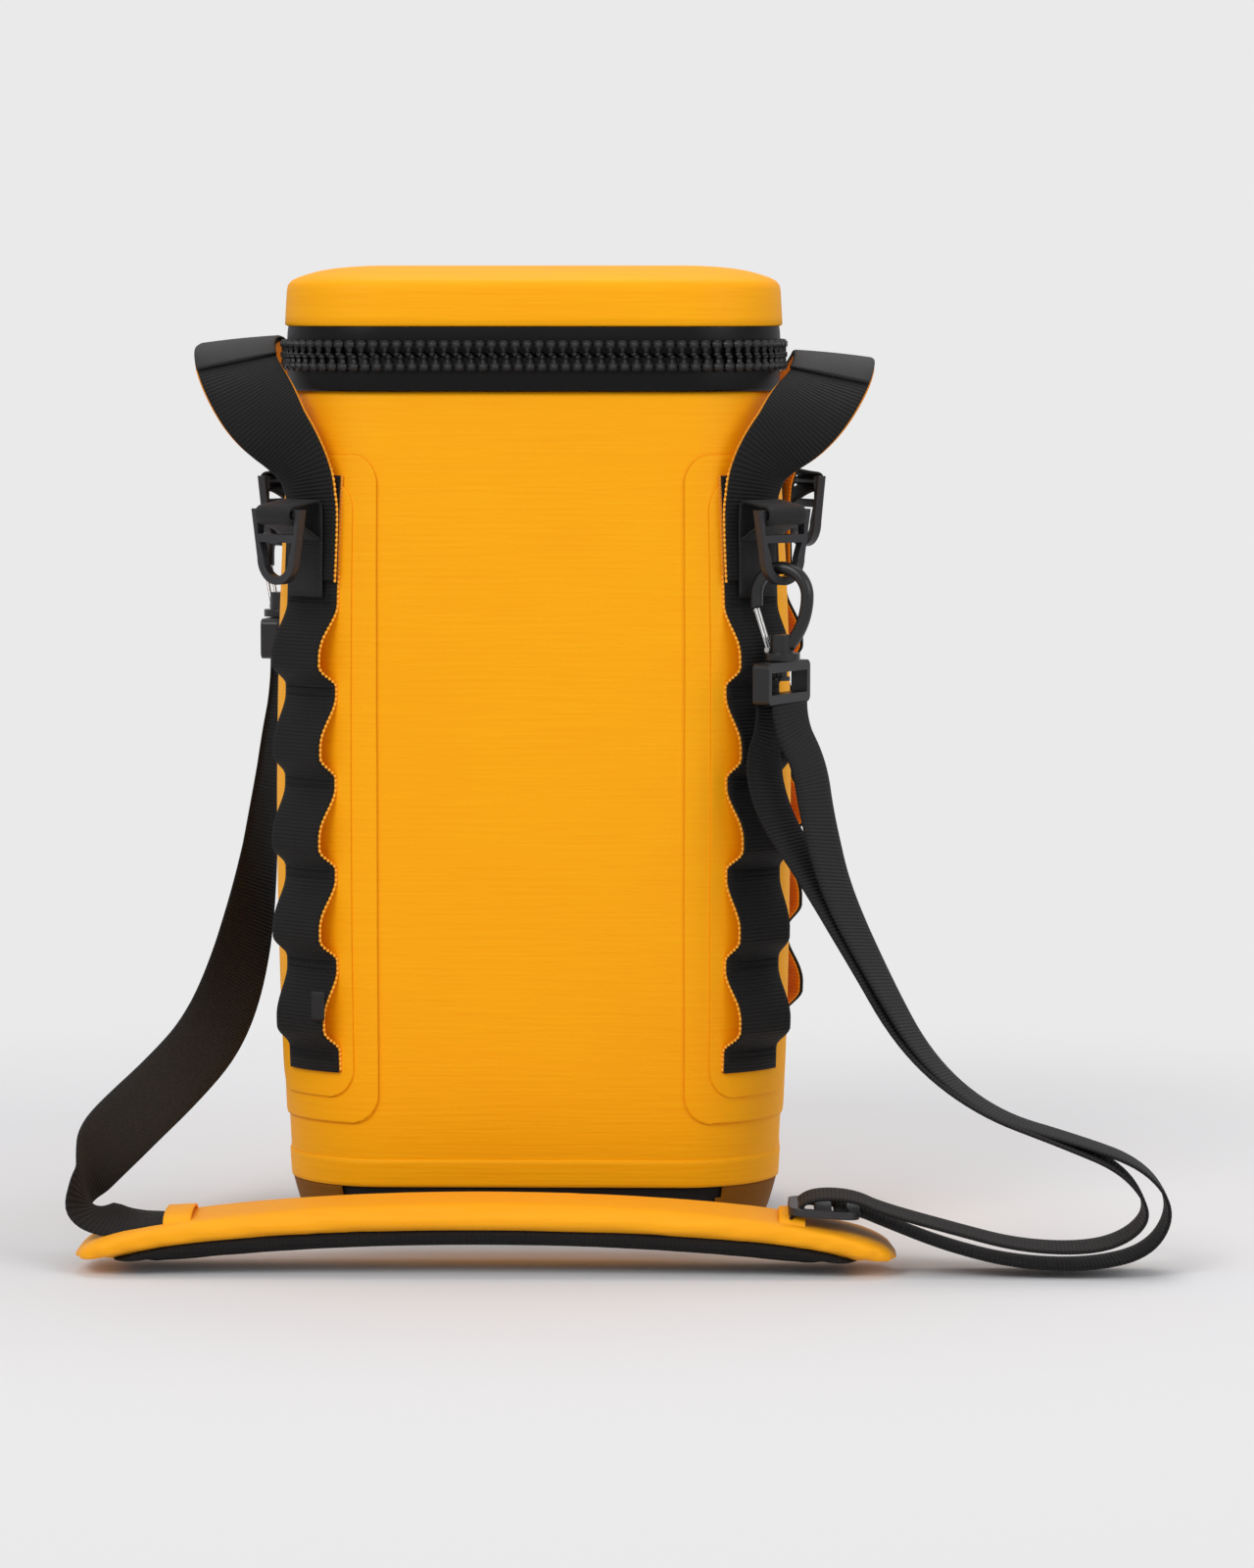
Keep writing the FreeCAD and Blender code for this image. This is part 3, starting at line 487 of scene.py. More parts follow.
@dataclass(frozen=True)
class Form:
    """The outline that every skin of the bag follows."""

    half_width: float = 0.141
    half_depth: float = 0.1075
    corner: float = 0.060
    waist: float = 0.230
    top: float = 0.469
    bottom: float = 0.033
    bulge: float = 0.009

    def draw_in(self, height: float) -> float:
        """How far the wall lies inside the full outline at a height."""
        rise = (height - self.waist) / (self.top - self.waist)
        return self.bulge * rise * rise

    def legs(self) -> list[tuple[str, Vector, float, float]]:
        """The straight and round legs of the outline, from the middle of the back leftwards."""
        across, deep = self.half_width - self.corner, self.half_depth - self.corner
        return [
            ("line", Vector((0, deep, 0)), 0.5 * math.pi, across),
            ("arc", Vector((-across, deep, 0)), 0.5 * math.pi, 0.0),
            ("line", Vector((-across, deep, 0)), math.pi, 2 * deep),
            ("arc", Vector((-across, -deep, 0)), math.pi, 0.0),
            ("line", Vector((-across, -deep, 0)), 1.5 * math.pi, 2 * across),
            ("arc", Vector((across, -deep, 0)), 1.5 * math.pi, 0.0),
            ("line", Vector((across, -deep, 0)), 0.0, 2 * deep),
            ("arc", Vector((across, deep, 0)), 0.0, 0.0),
            ("line", Vector((across, deep, 0)), 0.5 * math.pi, across),
        ]

    def outline(self, inset: float, height: float, step: float = 0.004) -> list[Vector]:
        """Points round the bag at a height, drawn in by inset from the full outline."""
        turn = self.corner - inset
        points = []
        for kind, centre, heading, run in self.legs():
            out = Vector((math.cos(heading), math.sin(heading), 0))
            along = Vector((-out.y, out.x, 0))
            if kind == "line":
                parts = max(2, round(run / step))
                points += [centre + out * turn + along * (run * k / parts) for k in range(parts)]
                continue
            parts = round(0.5 * math.pi * self.corner / step)
            for k in range(parts):
                angle = heading + 0.5 * math.pi * k / parts
                points.append(centre + turn * Vector((math.cos(angle), math.sin(angle), 0)))
        return [Vector((p.x, p.y, height)) for p in points]

    def ease(self, point: Vector, amount: float) -> float:
        """A soft unevenness of the cloth at a point, the same on each run."""
        slow = noise.noise(point * 7.0 + Vector((3.1, 0.4, 8.2)))
        quick = noise.noise(Vector((point.x * 16, point.y * 16, point.z * 30)))
        return amount * (slow + 0.35 * quick)

    def corner_axis(self, across: int, deep: int) -> Vector:
        """Where the upright axis of a rounded corner stands."""
        return Vector((across * (self.half_width - self.corner),
                       deep * (self.half_depth - self.corner), 0))


FORM = Form()


@dataclass(frozen=True)
class Corner:
    """One upright corner of the bag, with the way its chain and ring face."""

    name: str
    across: int
    deep: int

    @property
    def angle(self) -> float:
        """The chain's heading, from the middle of the front or back."""
        return math.radians(42 if self.deep < 0 else 58)

    @property
    def out(self) -> Vector:
        """The way the chain faces."""
        return Vector((self.across * math.sin(self.angle), self.deep * math.cos(self.angle), 0))

    @property
    def side(self) -> Vector:
        """Along the cloth, away from the bag's middle."""
        return Vector((self.across * math.cos(self.angle), -self.deep * math.sin(self.angle), 0))

    @property
    def axis(self) -> Vector:
        """The corner's upright axis."""
        return FORM.corner_axis(self.across, self.deep)

    @property
    def ring_bar(self) -> Vector:
        """The middle of the ring's bar."""
        return self.axis + self.out * 0.083 + Vector((0, 0, 0.402 if self.deep < 0 else 0.414))


CORNERS = (
    Corner("front_left", -1, -1),
    Corner("front_right", 1, -1),
    Corner("back_left", -1, 1),
    Corner("back_right", 1, 1),
)


def wrap(name: str, insets: Sequence[tuple[float, float]], uneven: float = 0.0) -> Piece:
    """A skin round the bag through outlines given as (height, inset).

    Args:
        name: the piece's name.
        insets: the height and inset of each ring of the skin.
        uneven: how much the cloth stands in and out, in metres.

    Returns:
        The open skin.
    """
    rings = []
    for height, inset in insets:
        ring = FORM.outline(inset, height)
        if uneven:
            for index, point in enumerate(ring):
                out = Vector((point.x, point.y, 0)).normalized()
                ring[index] = point + out * FORM.ease(point, uneven)
        rings.append(ring)
    along = [height for height, _ in insets]
    across = lengths(rings[0])
    return skin_mesh(name, rings, across, along, True, False)


def steps(low: float, high: float, count: int) -> list[float]:
    """Evenly spaced values from low to high, both included."""
    return [low + (high - low) * k / (count - 1) for k in range(count)]


# ---- body --------------------------------------------------------------------------------------

@dataclass
class BagBody:
    """Base, curled corners, coated shell, weld band, corner patches and label."""

    wall: float = 1.6 * MM
    layer: float = 1.0 * MM
    hem: float = 14 * MM
    patch_low: float = 0.068
    patch_high: float = 0.434
    patch_edge: float = 0.084
    patch_deep: float = 0.045
    patch_round: float = 0.016
    underlay_trim: float = 0.014
    curl_across: float = 0.106
    curl_deep: float = 0.040

    def build(self) -> list[Piece]:
        """Build every piece of the body and put it on the bag."""
        made = [self._shell(), self._hem(), self._base_corners(), self._base()]
        made += [self._patch(corner, under) for under in (False, True) for corner in CORNERS]
        made.append(self._label())
        for piece in made:
            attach(piece, "bag")
        return made

    def _shell(self) -> Piece:
        """The coated cloth tube, with soft uneven walls."""
        rows = [(z, FORM.draw_in(z)) for z in steps(FORM.bottom, FORM.top, 110)]
        shell = thicken(wrap("shell_cloth", rows, 0.5 * MM), self.wall, -1)
        return finished(shell, COATED_CLOTH, "body_shell")

    def _hem(self) -> Piece:
        """The weld band round the bottom, with a rolled lower edge."""
        low = FORM.bottom
        rows = [(low - 0.3 * MM, FORM.draw_in(low) + 0.8 * MM)]
        rows += [(z, FORM.draw_in(z) - 0.45 * MM) for z in steps(low, low + self.hem, 9)]
        rows.append((low + self.hem + 0.6 * MM, FORM.draw_in(low + self.hem) + 0.3 * MM))
        hem = thicken(wrap("weld_band", rows, 0.3 * MM), 0.5 * MM)
        return finished(hem, COATED_CLOTH, "hem_band")

    def _base_rows(self, grow: float, low: float) -> list[tuple[float, float]]:
        """Heights and insets of the base, which draws in towards the ground."""
        rows = []
        for z in steps(low, FORM.bottom - 0.4 * MM, 14):
            part = (z / FORM.bottom) ** 0.5
            rows.append((z, 0.024 - 0.016 * part - grow))
        return rows

    def _base(self) -> Piece:
        """The black moulded base with its flat foot."""
        rows = [(0.0006, 0.075), (0.0, 0.060), (0.0, 0.034)] + self._base_rows(0.0, 0.0015)
        rows.append((FORM.bottom - 0.2 * MM, 0.016))
        rows.append((FORM.bottom - 0.2 * MM, 0.040))
        base = wrap("moulded_base", [(z, min(inset, 0.0585)) for z, inset in rows])
        return finished(outwards(capped(base)), BASE_RUBBER, "base_tray")

    def _base_corners(self) -> Piece:
        """Coated corners that curl under the bag at each end of the base, in a darkened copy of the
        cloth as painted shade.
        """
        skin = wrap("curled_corners", self._base_rows(1.4 * MM, 4 * MM))
        self._keep(skin, lambda p: abs(p.x) > self.curl_across - 0.5 * (FORM.bottom - p.z)
                   and abs(p.y) > self.curl_deep)
        # Painted shade: the corners take a brown, darkened copy of the cloth where they face the
        # ground.
        return finished(thicken(skin, 0.8 * MM), SHADED_CURL_CLOTH, "base_corners")

    def _keep(self, piece: Piece, test: Callable[[Vector], bool]) -> None:
        """Keep the faces of a skin whose middle passes a test."""
        with editing(piece) as shape:
            lost = [face for face in shape.faces if not test(face.calc_center_median())]
            bmesh.ops.delete(shape, geom=lost, context="FACES")

    def _patch(self, corner: Corner, under: bool) -> Piece:
        """A welded patch round one corner; under is the narrower second layer."""
        trim = self.underlay_trim if under else 0.0
        low, high = self.patch_low + trim, self.patch_high - trim
        lift = (2.0 if under else 1.0) * self.layer
        turn = FORM.corner
        front_run = FORM.half_width - turn - (self.patch_edge + trim)
        side_run = FORM.half_depth - turn - (self.patch_deep + trim)
        arc = 0.5 * math.pi * turn
        start, end = -front_run, arc + side_run
        rings = []
        bend = self.patch_round
        rows = (steps(low, low + bend, 22)[:-1] + steps(low + bend, high - bend, 60)
                + steps(high - bend, high, 22)[1:])
        for part in steps(0, 1, 120):
            along = start + (end - start) * part
            ring = []
            for z in rows:
                inner = self._rounding(min(z - low, high - z))
                placed = min(max(along, start + inner), end - inner)
                ring.append(self._at(corner, placed, z, lift))
            rings.append(ring)
        patch = skin_mesh(f"patch_{'under' if under else 'outer'}_{corner.name}", rings,
                          rows, steps(start, end, 120), False, False)
        patch = thicken(patch, self.layer * 0.9, 0.0)
        node = "chain_backings" if under else f"corner_patch_{corner.name}"
        return finished(patch, COATED_CLOTH, node)

    def _rounding(self, edge: float) -> float:
        """How far a patch draws in near its top or bottom edge."""
        turn = self.patch_round
        return turn - math.sqrt(max(turn * turn - (turn - edge) ** 2, 0)) if edge < turn else 0.0

    def _at(self, corner: Corner, along: float, z: float, lift: float) -> Vector:
        """A point on the cloth beside a corner: along runs from the front face to the side."""
        turn = FORM.corner - FORM.draw_in(z) + lift
        arc = 0.5 * math.pi * FORM.corner
        x, y = corner.across, corner.deep
        if along <= 0:
            point = corner.axis + Vector((x * along, y * turn, z))
        elif along >= arc:
            point = corner.axis + Vector((x * turn, -y * (along - arc), z))
        else:
            angle = along / FORM.corner
            point = corner.axis + Vector((x * turn * math.sin(angle),
                                          y * turn * math.cos(angle), z))
        out = Vector((point.x, point.y, 0)).normalized()
        return point + out * FORM.ease(point, 0.5 * MM)

    def _label(self) -> Piece:
        """The small bare tab beside the front left chain."""
        low, high = (Vector(end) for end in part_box("label_tab"))
        middle = (low + high) / 2
        line = [Vector((middle.x, middle.y, z)) for z in steps(low.z, high.z, 10)]
        tab = ribbon("bare_label", line, [Vector((1, -0.25, 0))] * len(line), 7.4 * MM, 0.8 * MM)
        return finished(tab, LABEL_CLOTH, "label_tab")


# ---- repeating pieces, by geometry nodes -------------------------------------------------------

@dataclass
class Repeater:
    """A small shape repeated at a fixed pitch along a line."""

    name: str
    pitch: float
    shape: Piece
    finish: Finish

    def _tree(self) -> bpy.types.NodeTree:
        """The node tree: line to points, one shape on each, made real and dressed."""
        tree = bpy.data.node_groups.new(f"{self.name}_row", "GeometryNodeTree")
        for name, way, kind in (
                ("Geometry", "INPUT", "Geometry"), ("Pitch", "INPUT", "Float"),
                ("Shape", "INPUT", "Object"), ("Finish", "INPUT", "Material"),
                ("Geometry", "OUTPUT", "Geometry")):
            tree.interface.new_socket(name, in_out=way, socket_type=f"NodeSocket{kind}")
        given = add_node(tree, "NodeGroupInput").outputs
        path = add_node(tree, "GeometryNodeMeshToCurve", {"Mesh": given["Geometry"]})
        upright = add_node(tree, "GeometryNodeSetCurveNormal", {"Curve": path.outputs["Curve"]},
                           mode="Z_UP")
        spots = add_node(tree, "GeometryNodeCurveToPoints", {
            "Curve": upright.outputs["Curve"], "Length": given["Pitch"]}, mode="LENGTH").outputs
        shape = add_node(tree, "GeometryNodeObjectInfo", {"Object": given["Shape"]})
        copies = add_node(tree, "GeometryNodeInstanceOnPoints", {
            "Points": spots["Points"], "Rotation": spots["Rotation"],
            "Instance": shape.outputs["Geometry"]})
        real = add_node(tree, "GeometryNodeRealizeInstances", {"Geometry": copies.outputs[0]})
        dress = add_node(tree, "GeometryNodeSetMaterial", {
            "Geometry": real.outputs[0], "Material": given["Finish"]})
        add_node(tree, "NodeGroupOutput", {"Geometry": dress.outputs[0]})
        return tree

    def build(self, line: Line) -> Piece:
        """Repeat the shape along a line and return the plain mesh of the result."""
        edges = [(k, k + 1) for k in range(len(line) - 1)]
        mesh = bpy.data.meshes.new(self.name)
        mesh.from_pydata([tuple(p) for p in line], edges, [])
        piece = link(mesh, self.name)
        rows = piece.modifiers.new("row", "NODES")
        rows.node_group = self._tree()
        sockets = {item.name: item.identifier for item in rows.node_group.interface.items_tree
                   if item.in_out == "INPUT"}
        rows[sockets["Pitch"]] = self.pitch
        rows[sockets["Shape"]] = self.shape
        rows[sockets["Finish"]] = FINISHES.of(self.finish)
        applied(piece)
        bpy.data.node_groups.remove(bpy.data.node_groups[f"{self.name}_row"])
        return piece


def smooth_step(value: float, low: float, high: float) -> float:
    """Rise smoothly from 0 to 1 between low and high."""
    part = min(max((value - low) / (high - low), 0.0), 1.0)
    return part * part * (3 - 2 * part)


def soft_shape(name: str, boxes: Sequence[tuple[Vector, Vector]], soften: float,
               cuts: int = 1) -> Piece:
    """Boxes with softened edges as one small shape, kept out of sight, to be repeated.

    Args:
        name: the shape's name.
        boxes: the size and the middle of each box.
        soften: how wide the softened edges are.
        cuts: how many faces round each edge.

    Returns:
        The shape's object, in no collection.
    """
    shape = bmesh.new()
    for size, middle in boxes:
        place = Matrix.Translation(middle) @ Matrix.Diagonal((*size, 1))
        bit = bmesh.ops.create_cube(shape, size=1.0, matrix=place)
        edges = list(dict.fromkeys(edge for vertex in bit["verts"] for edge in vertex.link_edges))
        bmesh.ops.bevel(shape, geom=edges, offset=soften, segments=cuts, affect="EDGES")
    mesh = bpy.data.meshes.new(name)
    shape.to_mesh(mesh)
    shape.free()
    return bpy.data.objects.new(name, mesh)


def selvedge_row(name: str) -> Repeater:
    """The bright loops along an edge, as one row."""
    bead = soft_shape("bead", [(Vector((1.4, 1.5, 1.7)) * MM, Vector())], 0.45 * MM)
    return Repeater(name, 2.7 * MM, bead, SELVEDGE)


# ---- webbing chains ----------------------------------------------------------------------------

@dataclass
class WebbingChain:
    """One black webbing chain with its bright lining, stitched down between its loops."""

    corner: Corner
    low: float = 0.096
    high: float = 0.423
    bead_top: float = 0.368
    pitch: float = 0.050
    sewn: float = 0.009
    off_cloth: float = 2 * MM
    standoff: float = 9 * MM
    width: float = 38 * MM
    thick: float = 1.6 * MM
    lining: float = 0.9 * MM

    def _loop(self, z: float) -> float:
        """How far the webbing stands off at a height, from 0 to 1."""
        part = (z - self.low - self.sewn) / self.pitch
        if part <= 0 or part >= 5:
            return 0.0
        local = part - math.floor(part)
        sag = smooth_step(local, 0.06, 0.30) * (1 - smooth_step(local, 0.40, 0.96))
        return sag * (0.96 + 0.12 * math.sin(3.7 * math.floor(part) + self.corner.across))

    def _point(self, z: float, span: float, lift: float, depth: float = 0.0,
               flatten: float = 0.9) -> Vector:
        """A point on the chain.

        Args:
            z: its height.
            span: how far it lies across the chain.
            lift: how far this layer lies off the cloth.
            depth: how far out in the layer the point is.
            flatten: how much of the width that the curve takes up is given back.

        Returns:
            The point.
        """
        corner, loop = self.corner, self._loop(z)
        radius = FORM.corner - FORM.draw_in(z) + self.off_cloth + lift + loop * self.standoff
        angle = span / radius * (1.0 - 0.6 * min(loop * 1.3, 1.0))
        reach = radius + depth
        flat = span - math.sin(angle) * reach
        return (corner.axis + corner.out * math.cos(angle) * reach
                + corner.side * (math.sin(angle) * reach + flat * flatten) + Vector((0, 0, z)))

    def _band(self, name: str, lift: float, thick: float, inner: float, outer: float) -> Piece:
        """One layer of the chain, from its inner to its outer edge across the corner."""
        soft, shoulder = 0.4 * MM, 3 * MM
        spans = [inner, inner + soft, *steps(inner + shoulder, outer - shoulder, 7), outer - soft,
                 outer]
        rings = []
        for z in steps(self.low, self.high, 170):
            ring = []
            for top in (1, 0):
                for span in spans if top else reversed(spans):
                    full = 0.4 if span in (inner, outer) else 1.0
                    depth = thick * (0.5 + (top - 0.5) * full)
                    ring.append(self._point(z, span, lift, depth))
            rings.append(ring)
        middle = [ring[len(spans) // 2] for ring in rings]
        across = spans + spans[::-1]
        return outwards(skin_mesh(name, rings, across, lengths(middle), True, True))

    def build(self) -> list[Piece]:
        """Build the webbing, its lining and the stitches along the lining's edge."""
        name, half = self.corner.name, self.width / 2
        webbing = self._band(f"webbing_{name}", 1.0 * MM, self.thick, -half, half)
        finished(webbing, WEBBING, f"daisy_chain_{name}")
        lining = self._band(f"lining_{name}", 0.05 * MM, self.lining, -half - 0.7 * MM,
                            half - 1.0 * MM)
        finished(lining, LINING, f"chain_lining_{name}")
        made = [webbing, lining, self._beads(), self._tacks()]
        for piece in made:
            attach(piece, "bag")
        return made

    def _beads(self) -> Piece:
        """The bright selvedge loops along the chain's inner edge, up to the handle's foot."""
        span = -self.width / 2 - 0.5 * MM
        line = [self._point(z, span, 0.9 * MM)
                for z in steps(self.low + 2 * MM, self.bead_top, 170)]
        piece = selvedge_row(f"selvedge_{self.corner.name}").build(line)
        return piece

    def _tacks(self) -> Piece:
        """Black bar tacks across the chain at each place where it is sewn down."""
        bar = soft_shape("tack", [(Vector((1.0, 1.1, 1.6)) * MM, Vector())], 0.3 * MM)
        row = Repeater(f"tacks_{self.corner.name}", 1.5 * MM, bar, WEBBING)
        parts = []
        for loop in range(6):
            z = self.low + self.sewn + loop * self.pitch
            for shift in (-1.6 * MM, 1.6 * MM):
                parts.append(row.build([self._point(z + shift, span, 2.7 * MM, flatten=0.0)
                                        for span in steps(-0.0165, 0.0165, 24)]))
        return joined(parts, f"bar_tacks_{self.corner.name}")


def joined(parts: Sequence[Piece], name: str) -> Piece:
    """Join plain meshes of one finish into one piece."""
    shape = bmesh.new()
    for part in parts:
        shape.from_mesh(part.data)
    mesh = bpy.data.meshes.new(name)
    shape.to_mesh(mesh)
    shape.free()
    for material in parts[0].data.materials:
        mesh.materials.append(material)
    for part in parts:
        bpy.data.objects.remove(part)
    piece = link(mesh, name)
    return piece


# ---- zip ---------------------------------------------------------------------------------------

@dataclass
class Zip:
    """Coated tape and moulded teeth round three sides, and the cloth hinge at the back."""

    middle: float = 0.488
    tape_inset: float = 9 * MM
    tape_thick: float = 1.6 * MM
    row_off: float = 3.4 * MM
    pitch: float = 6.4 * MM
    back_stop: float = math.radians(38)
    stand_out: float = 2.7 * MM
    teeth_out: float = 3.1 * MM
    fine_step: float = 1.6 * MM

    def build(self) -> list[Piece]:
        """Build both tapes and both rows of teeth, and the hinge cloth."""
        made = []
        for side, body, low, high in (("lower", "bag", 0.4685, self.middle - 0.3 * MM),
                                      ("upper", "lid", self.middle + 0.3 * MM, 0.5055)):
            rows = []
            for z in steps(low, high, 16):
                part = (z - low) / (high - low)
                roll = 1.2 * MM * math.sin(math.pi * part) ** 0.6
                rows.append((z, self.tape_inset - roll))
            skin = wrap(f"tape_{side}", rows, 0.25 * MM)
            for vertex in skin.data.vertices:
                vertex.co += self._bulge(vertex.co)
            tape = thicken(skin, self.tape_thick, -1)
            made.append(finished(tape, ZIP_TAPE, f"{side}_zip_tape", body))
            made.append(self._teeth(side, body))
        made.append(self._hinge())
        return made

    def _bulge(self, point: Vector) -> Vector:
        """How far the zip stands out at a point: more at the front than at the back."""
        across, deep = FORM.half_width - FORM.corner, FORM.half_depth - FORM.corner
        out = Vector((point.x - max(-across, min(across, point.x)),
                      point.y - max(-deep, min(deep, point.y)), 0)).normalized()
        return out * (self.stand_out * smooth_step(-point.y, -0.045, 0.03))

    def _path(self, inset: float, z: float, start: float) -> list[Vector]:
        """The line of a row of teeth, from one back corner round the front to the other."""
        across, deep = FORM.half_width - FORM.corner, FORM.half_depth - FORM.corner
        turn = FORM.corner - inset

        def back_arc(side: int, first: float, last: float) -> list[Vector]:
            """The teeth's way round one back corner."""
            return [Vector((side * across + turn * math.cos(angle),
                            deep + turn * math.sin(angle), z))
                    for angle in steps(first, last, 9)]

        front = [point for point in FORM.outline(inset, z, self.fine_step)
                 if point.y < deep - 0.5 * MM]
        points = (back_arc(-1, math.pi - self.back_stop, math.pi) + front
                  + back_arc(1, 0.0, self.back_stop))
        if start:
            points[0] += (points[1] - points[0]).normalized() * start
        return [point + self._bulge(point) for point in points]

    def _teeth(self, side: str, body: str) -> Piece:
        """One row of moulded teeth: each has a broad foot, a neck and a small meshing head."""
        up = 1 if side == "lower" else -1
        boxes = [(Vector(size) * MM, Vector((0, up * level, 0)) * MM) for size, level in (
            ((4.4, 4.6, 5.4), 2.6), ((3.0, 4.6, 2.8), 0.0), ((4.2, 3.0, 3.1), -2.7))]
        # The teeth wear the plastic whose grey lightening is painted highlight.
        row = Repeater(f"teeth_{side}", self.pitch, soft_shape("tooth", boxes, 0.85 * MM, 2),
                       ZIP_PLASTIC)
        start = 0.0 if side == "lower" else self.pitch / 2
        line = self._path(self.tape_inset - self.teeth_out, self.middle - up * self.row_off, start)
        return finished(row.build(line), ZIP_PLASTIC, f"{side}_zip_teeth", body)

    def _hinge(self) -> Piece:
        """The cloth hinge at the back."""
        low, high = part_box("lid_hinge_strip")
        rows = []
        for x in steps(low[0], high[0], 40):
            ring = []
            for part in steps(0, 1, 14):
                z = low[2] - 2 * MM + (high[2] - low[2] + 4 * MM) * part
                back = high[1] - 0.6 * MM + 0.5 * MM * math.sin(math.pi * part)
                ring.append(Vector((x, back, z)))
            rows.append(ring)
        cloth = skin_mesh("hinge_cloth", rows, steps(0, 0.012, 14), steps(0, 0.13, 40),
                          False, False)
        cloth = outwards(thicken(cloth, 1.0 * MM, 0.0))
        finished(cloth, ZIP_TAPE, "lid_hinge_strip")
        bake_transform(cloth)
        return cloth


# ---- lid ---------------------------------------------------------------------------------------

@dataclass
class Lid:
    """The soft lid: a short skirt, a rolled edge and a low crown."""

    profile: tuple[tuple[float, float], ...] = (
        (0.5060, 0.0088), (0.5042, 0.0068), (0.5038, 0.0052), (0.5046, 0.0040), (0.5090, 0.0042),
        (0.5160, 0.0046), (0.5230, 0.0050), (0.5262, 0.0056), (0.5286, 0.0076), (0.5304, 0.0112),
        (0.5322, 0.0165), (0.5340, 0.0232), (0.5353, 0.0310), (0.5362, 0.0400), (0.5367, 0.0490),
        (0.5369, 0.0580),
    )

    def build(self) -> list[Piece]:
        """Build the lid's cloth and put it on the lid."""
        crown = thicken(capped(wrap("lid_cloth", self.profile, 0.5 * MM)), 1.4 * MM, -1)
        return [finished(crown, COATED_CLOTH, "lid_shell", "lid")]


# ---- handles and ring tabs ---------------------------------------------------------------------

@dataclass
class SideHandle:
    """A stiff webbing loop over one side, lined inside, with a smooth grip on top."""

    name: str
    across: int
    width: float = 38 * MM
    thick: float = 1.7 * MM

    def _points(self) -> list[Vector]:
        """Control points from the front chain's top to the back one's."""
        shape = ((120.7, -93.8, 366), (119.6, -92.6, 390), (119.4, -92.2, 412), (125.5, -94.3, 432),
                 (146, -88, 455), (161, -71, 478), (166, -45, 490), (166, 0, 493.5), (165, 42, 490),
                 (160, 64, 479), (148, 77, 456), (137, 81, 432), (132.9, 80, 412),
                 (132.2, 79.4, 390), (132.7, 79.8, 366))
        droop = 8.0 if self.across > 0 else 0.0
        return [Vector((x * self.across, y, z - droop * smooth_step(z, 430, 490))) * MM
                for x, y, z in shape]

    def _across(self, count: int) -> list[Vector]:
        """The webbing's width direction at each point of the line."""
        ways = []
        for index in range(count):
            part = min(max((index / (count - 1) - 0.12) / 0.76, 0.0), 1.0)
            lean, sway = math.sin(math.pi * part), math.cos(math.pi * part)
            turned = (0.9 if sway > 0 else 1.5) * self.across * sway * (1 - lean)
            ways.append(Vector((-1.0, -turned, self.across * 0.10 * lean)))
        return ways

    def build(self) -> list[Piece]:
        """Build webbing, lining, selvedge and grip."""
        line = curve_line(self._points(), 12)
        ways = self._across(len(line))
        shares = [1 + 0.16 * smooth_step(point.z, 0.425, 0.465) for point in line]
        webbing = ribbon(f"carry_webbing_{self.name}", line, ways, self.width, self.thick, 0.9 * MM,
                         0.0, shares)
        finished(webbing, WEBBING, f"handle_{self.name}")
        lining = ribbon(f"carry_lining_{self.name}", line, ways, self.width + 0.9 * MM, 0.9 * MM,
                        -0.5 * MM, 0.0, shares)
        finished(lining, LINING, f"handle_lining_{self.name}")
        third = int(len(line) * 0.37)
        cut = slice(third, len(line) - third)
        grip = ribbon(f"carry_grip_{self.name}", line[cut], ways[cut], self.width + 0.8 * MM,
                      1.8 * MM, 2.6 * MM, 0.5 * MM, shares[cut])
        finished(grip, SMOOTH_WEBBING, f"handle_grip_{self.name}",
                 f"handle_{self.name}")
        beads = self._beads(line, ways, shares, int(len(line) * 0.28))
        for piece in (webbing, lining, beads):
            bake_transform(piece)
        return [webbing, lining, grip, beads]

    def _beads(self, line: Line, ways: Line, shares: Sequence[float],
               count: int) -> Piece:
        """The bright selvedge loops up the inner edge of both legs."""
        row = selvedge_row(f"handle_beads_{self.name}")
        legs = []
        for leg in (slice(0, count), slice(len(line) - count, len(line))):
            edge = [point + way.normalized() * (self.across * (self.width * share / 2 + 0.3 * MM))
                    for point, way, share in zip(line[leg], ways[leg], shares[leg])]
            legs.append(row.build(edge))
        return joined(legs, f"handle_selvedge_{self.name}")


@dataclass
class RingTab:
    """Smooth webbing folded round a ring's bar and sewn flat over the chain."""

    corner: Corner
    width: float = 27 * MM
    foot_mm: float = 357

    def build(self) -> Piece:
        """Build the folded tab."""
        low = self.foot_mm - self.corner.ring_bar.z / MM
        shape = ((-19.4, low), (-19.6, low * 0.6), (-19.9, low * 0.25), (-19.9, 1), (-19.0, 7.4),
                 (-12, 6.8), (-3, 5.0), (3.4, 4.4), (5.4, 0), (3.2, -4.6), (-3, -5.4),
                 (-10, -8.6), (-18.2, -13.6))
        corner = self.corner
        points = [corner.ring_bar + corner.out * a * MM + Vector((0, 0, b * MM)) for a, b in shape]
        line = curve_line(points, 8)
        tab = ribbon(f"tab_{corner.name}", line, [corner.side] * len(line), self.width, 1.6 * MM)
        return finished(tab, SMOOTH_WEBBING, "ring_tabs", "bag")


# ---- hard pieces kept from the construction ----------------------------------------------------

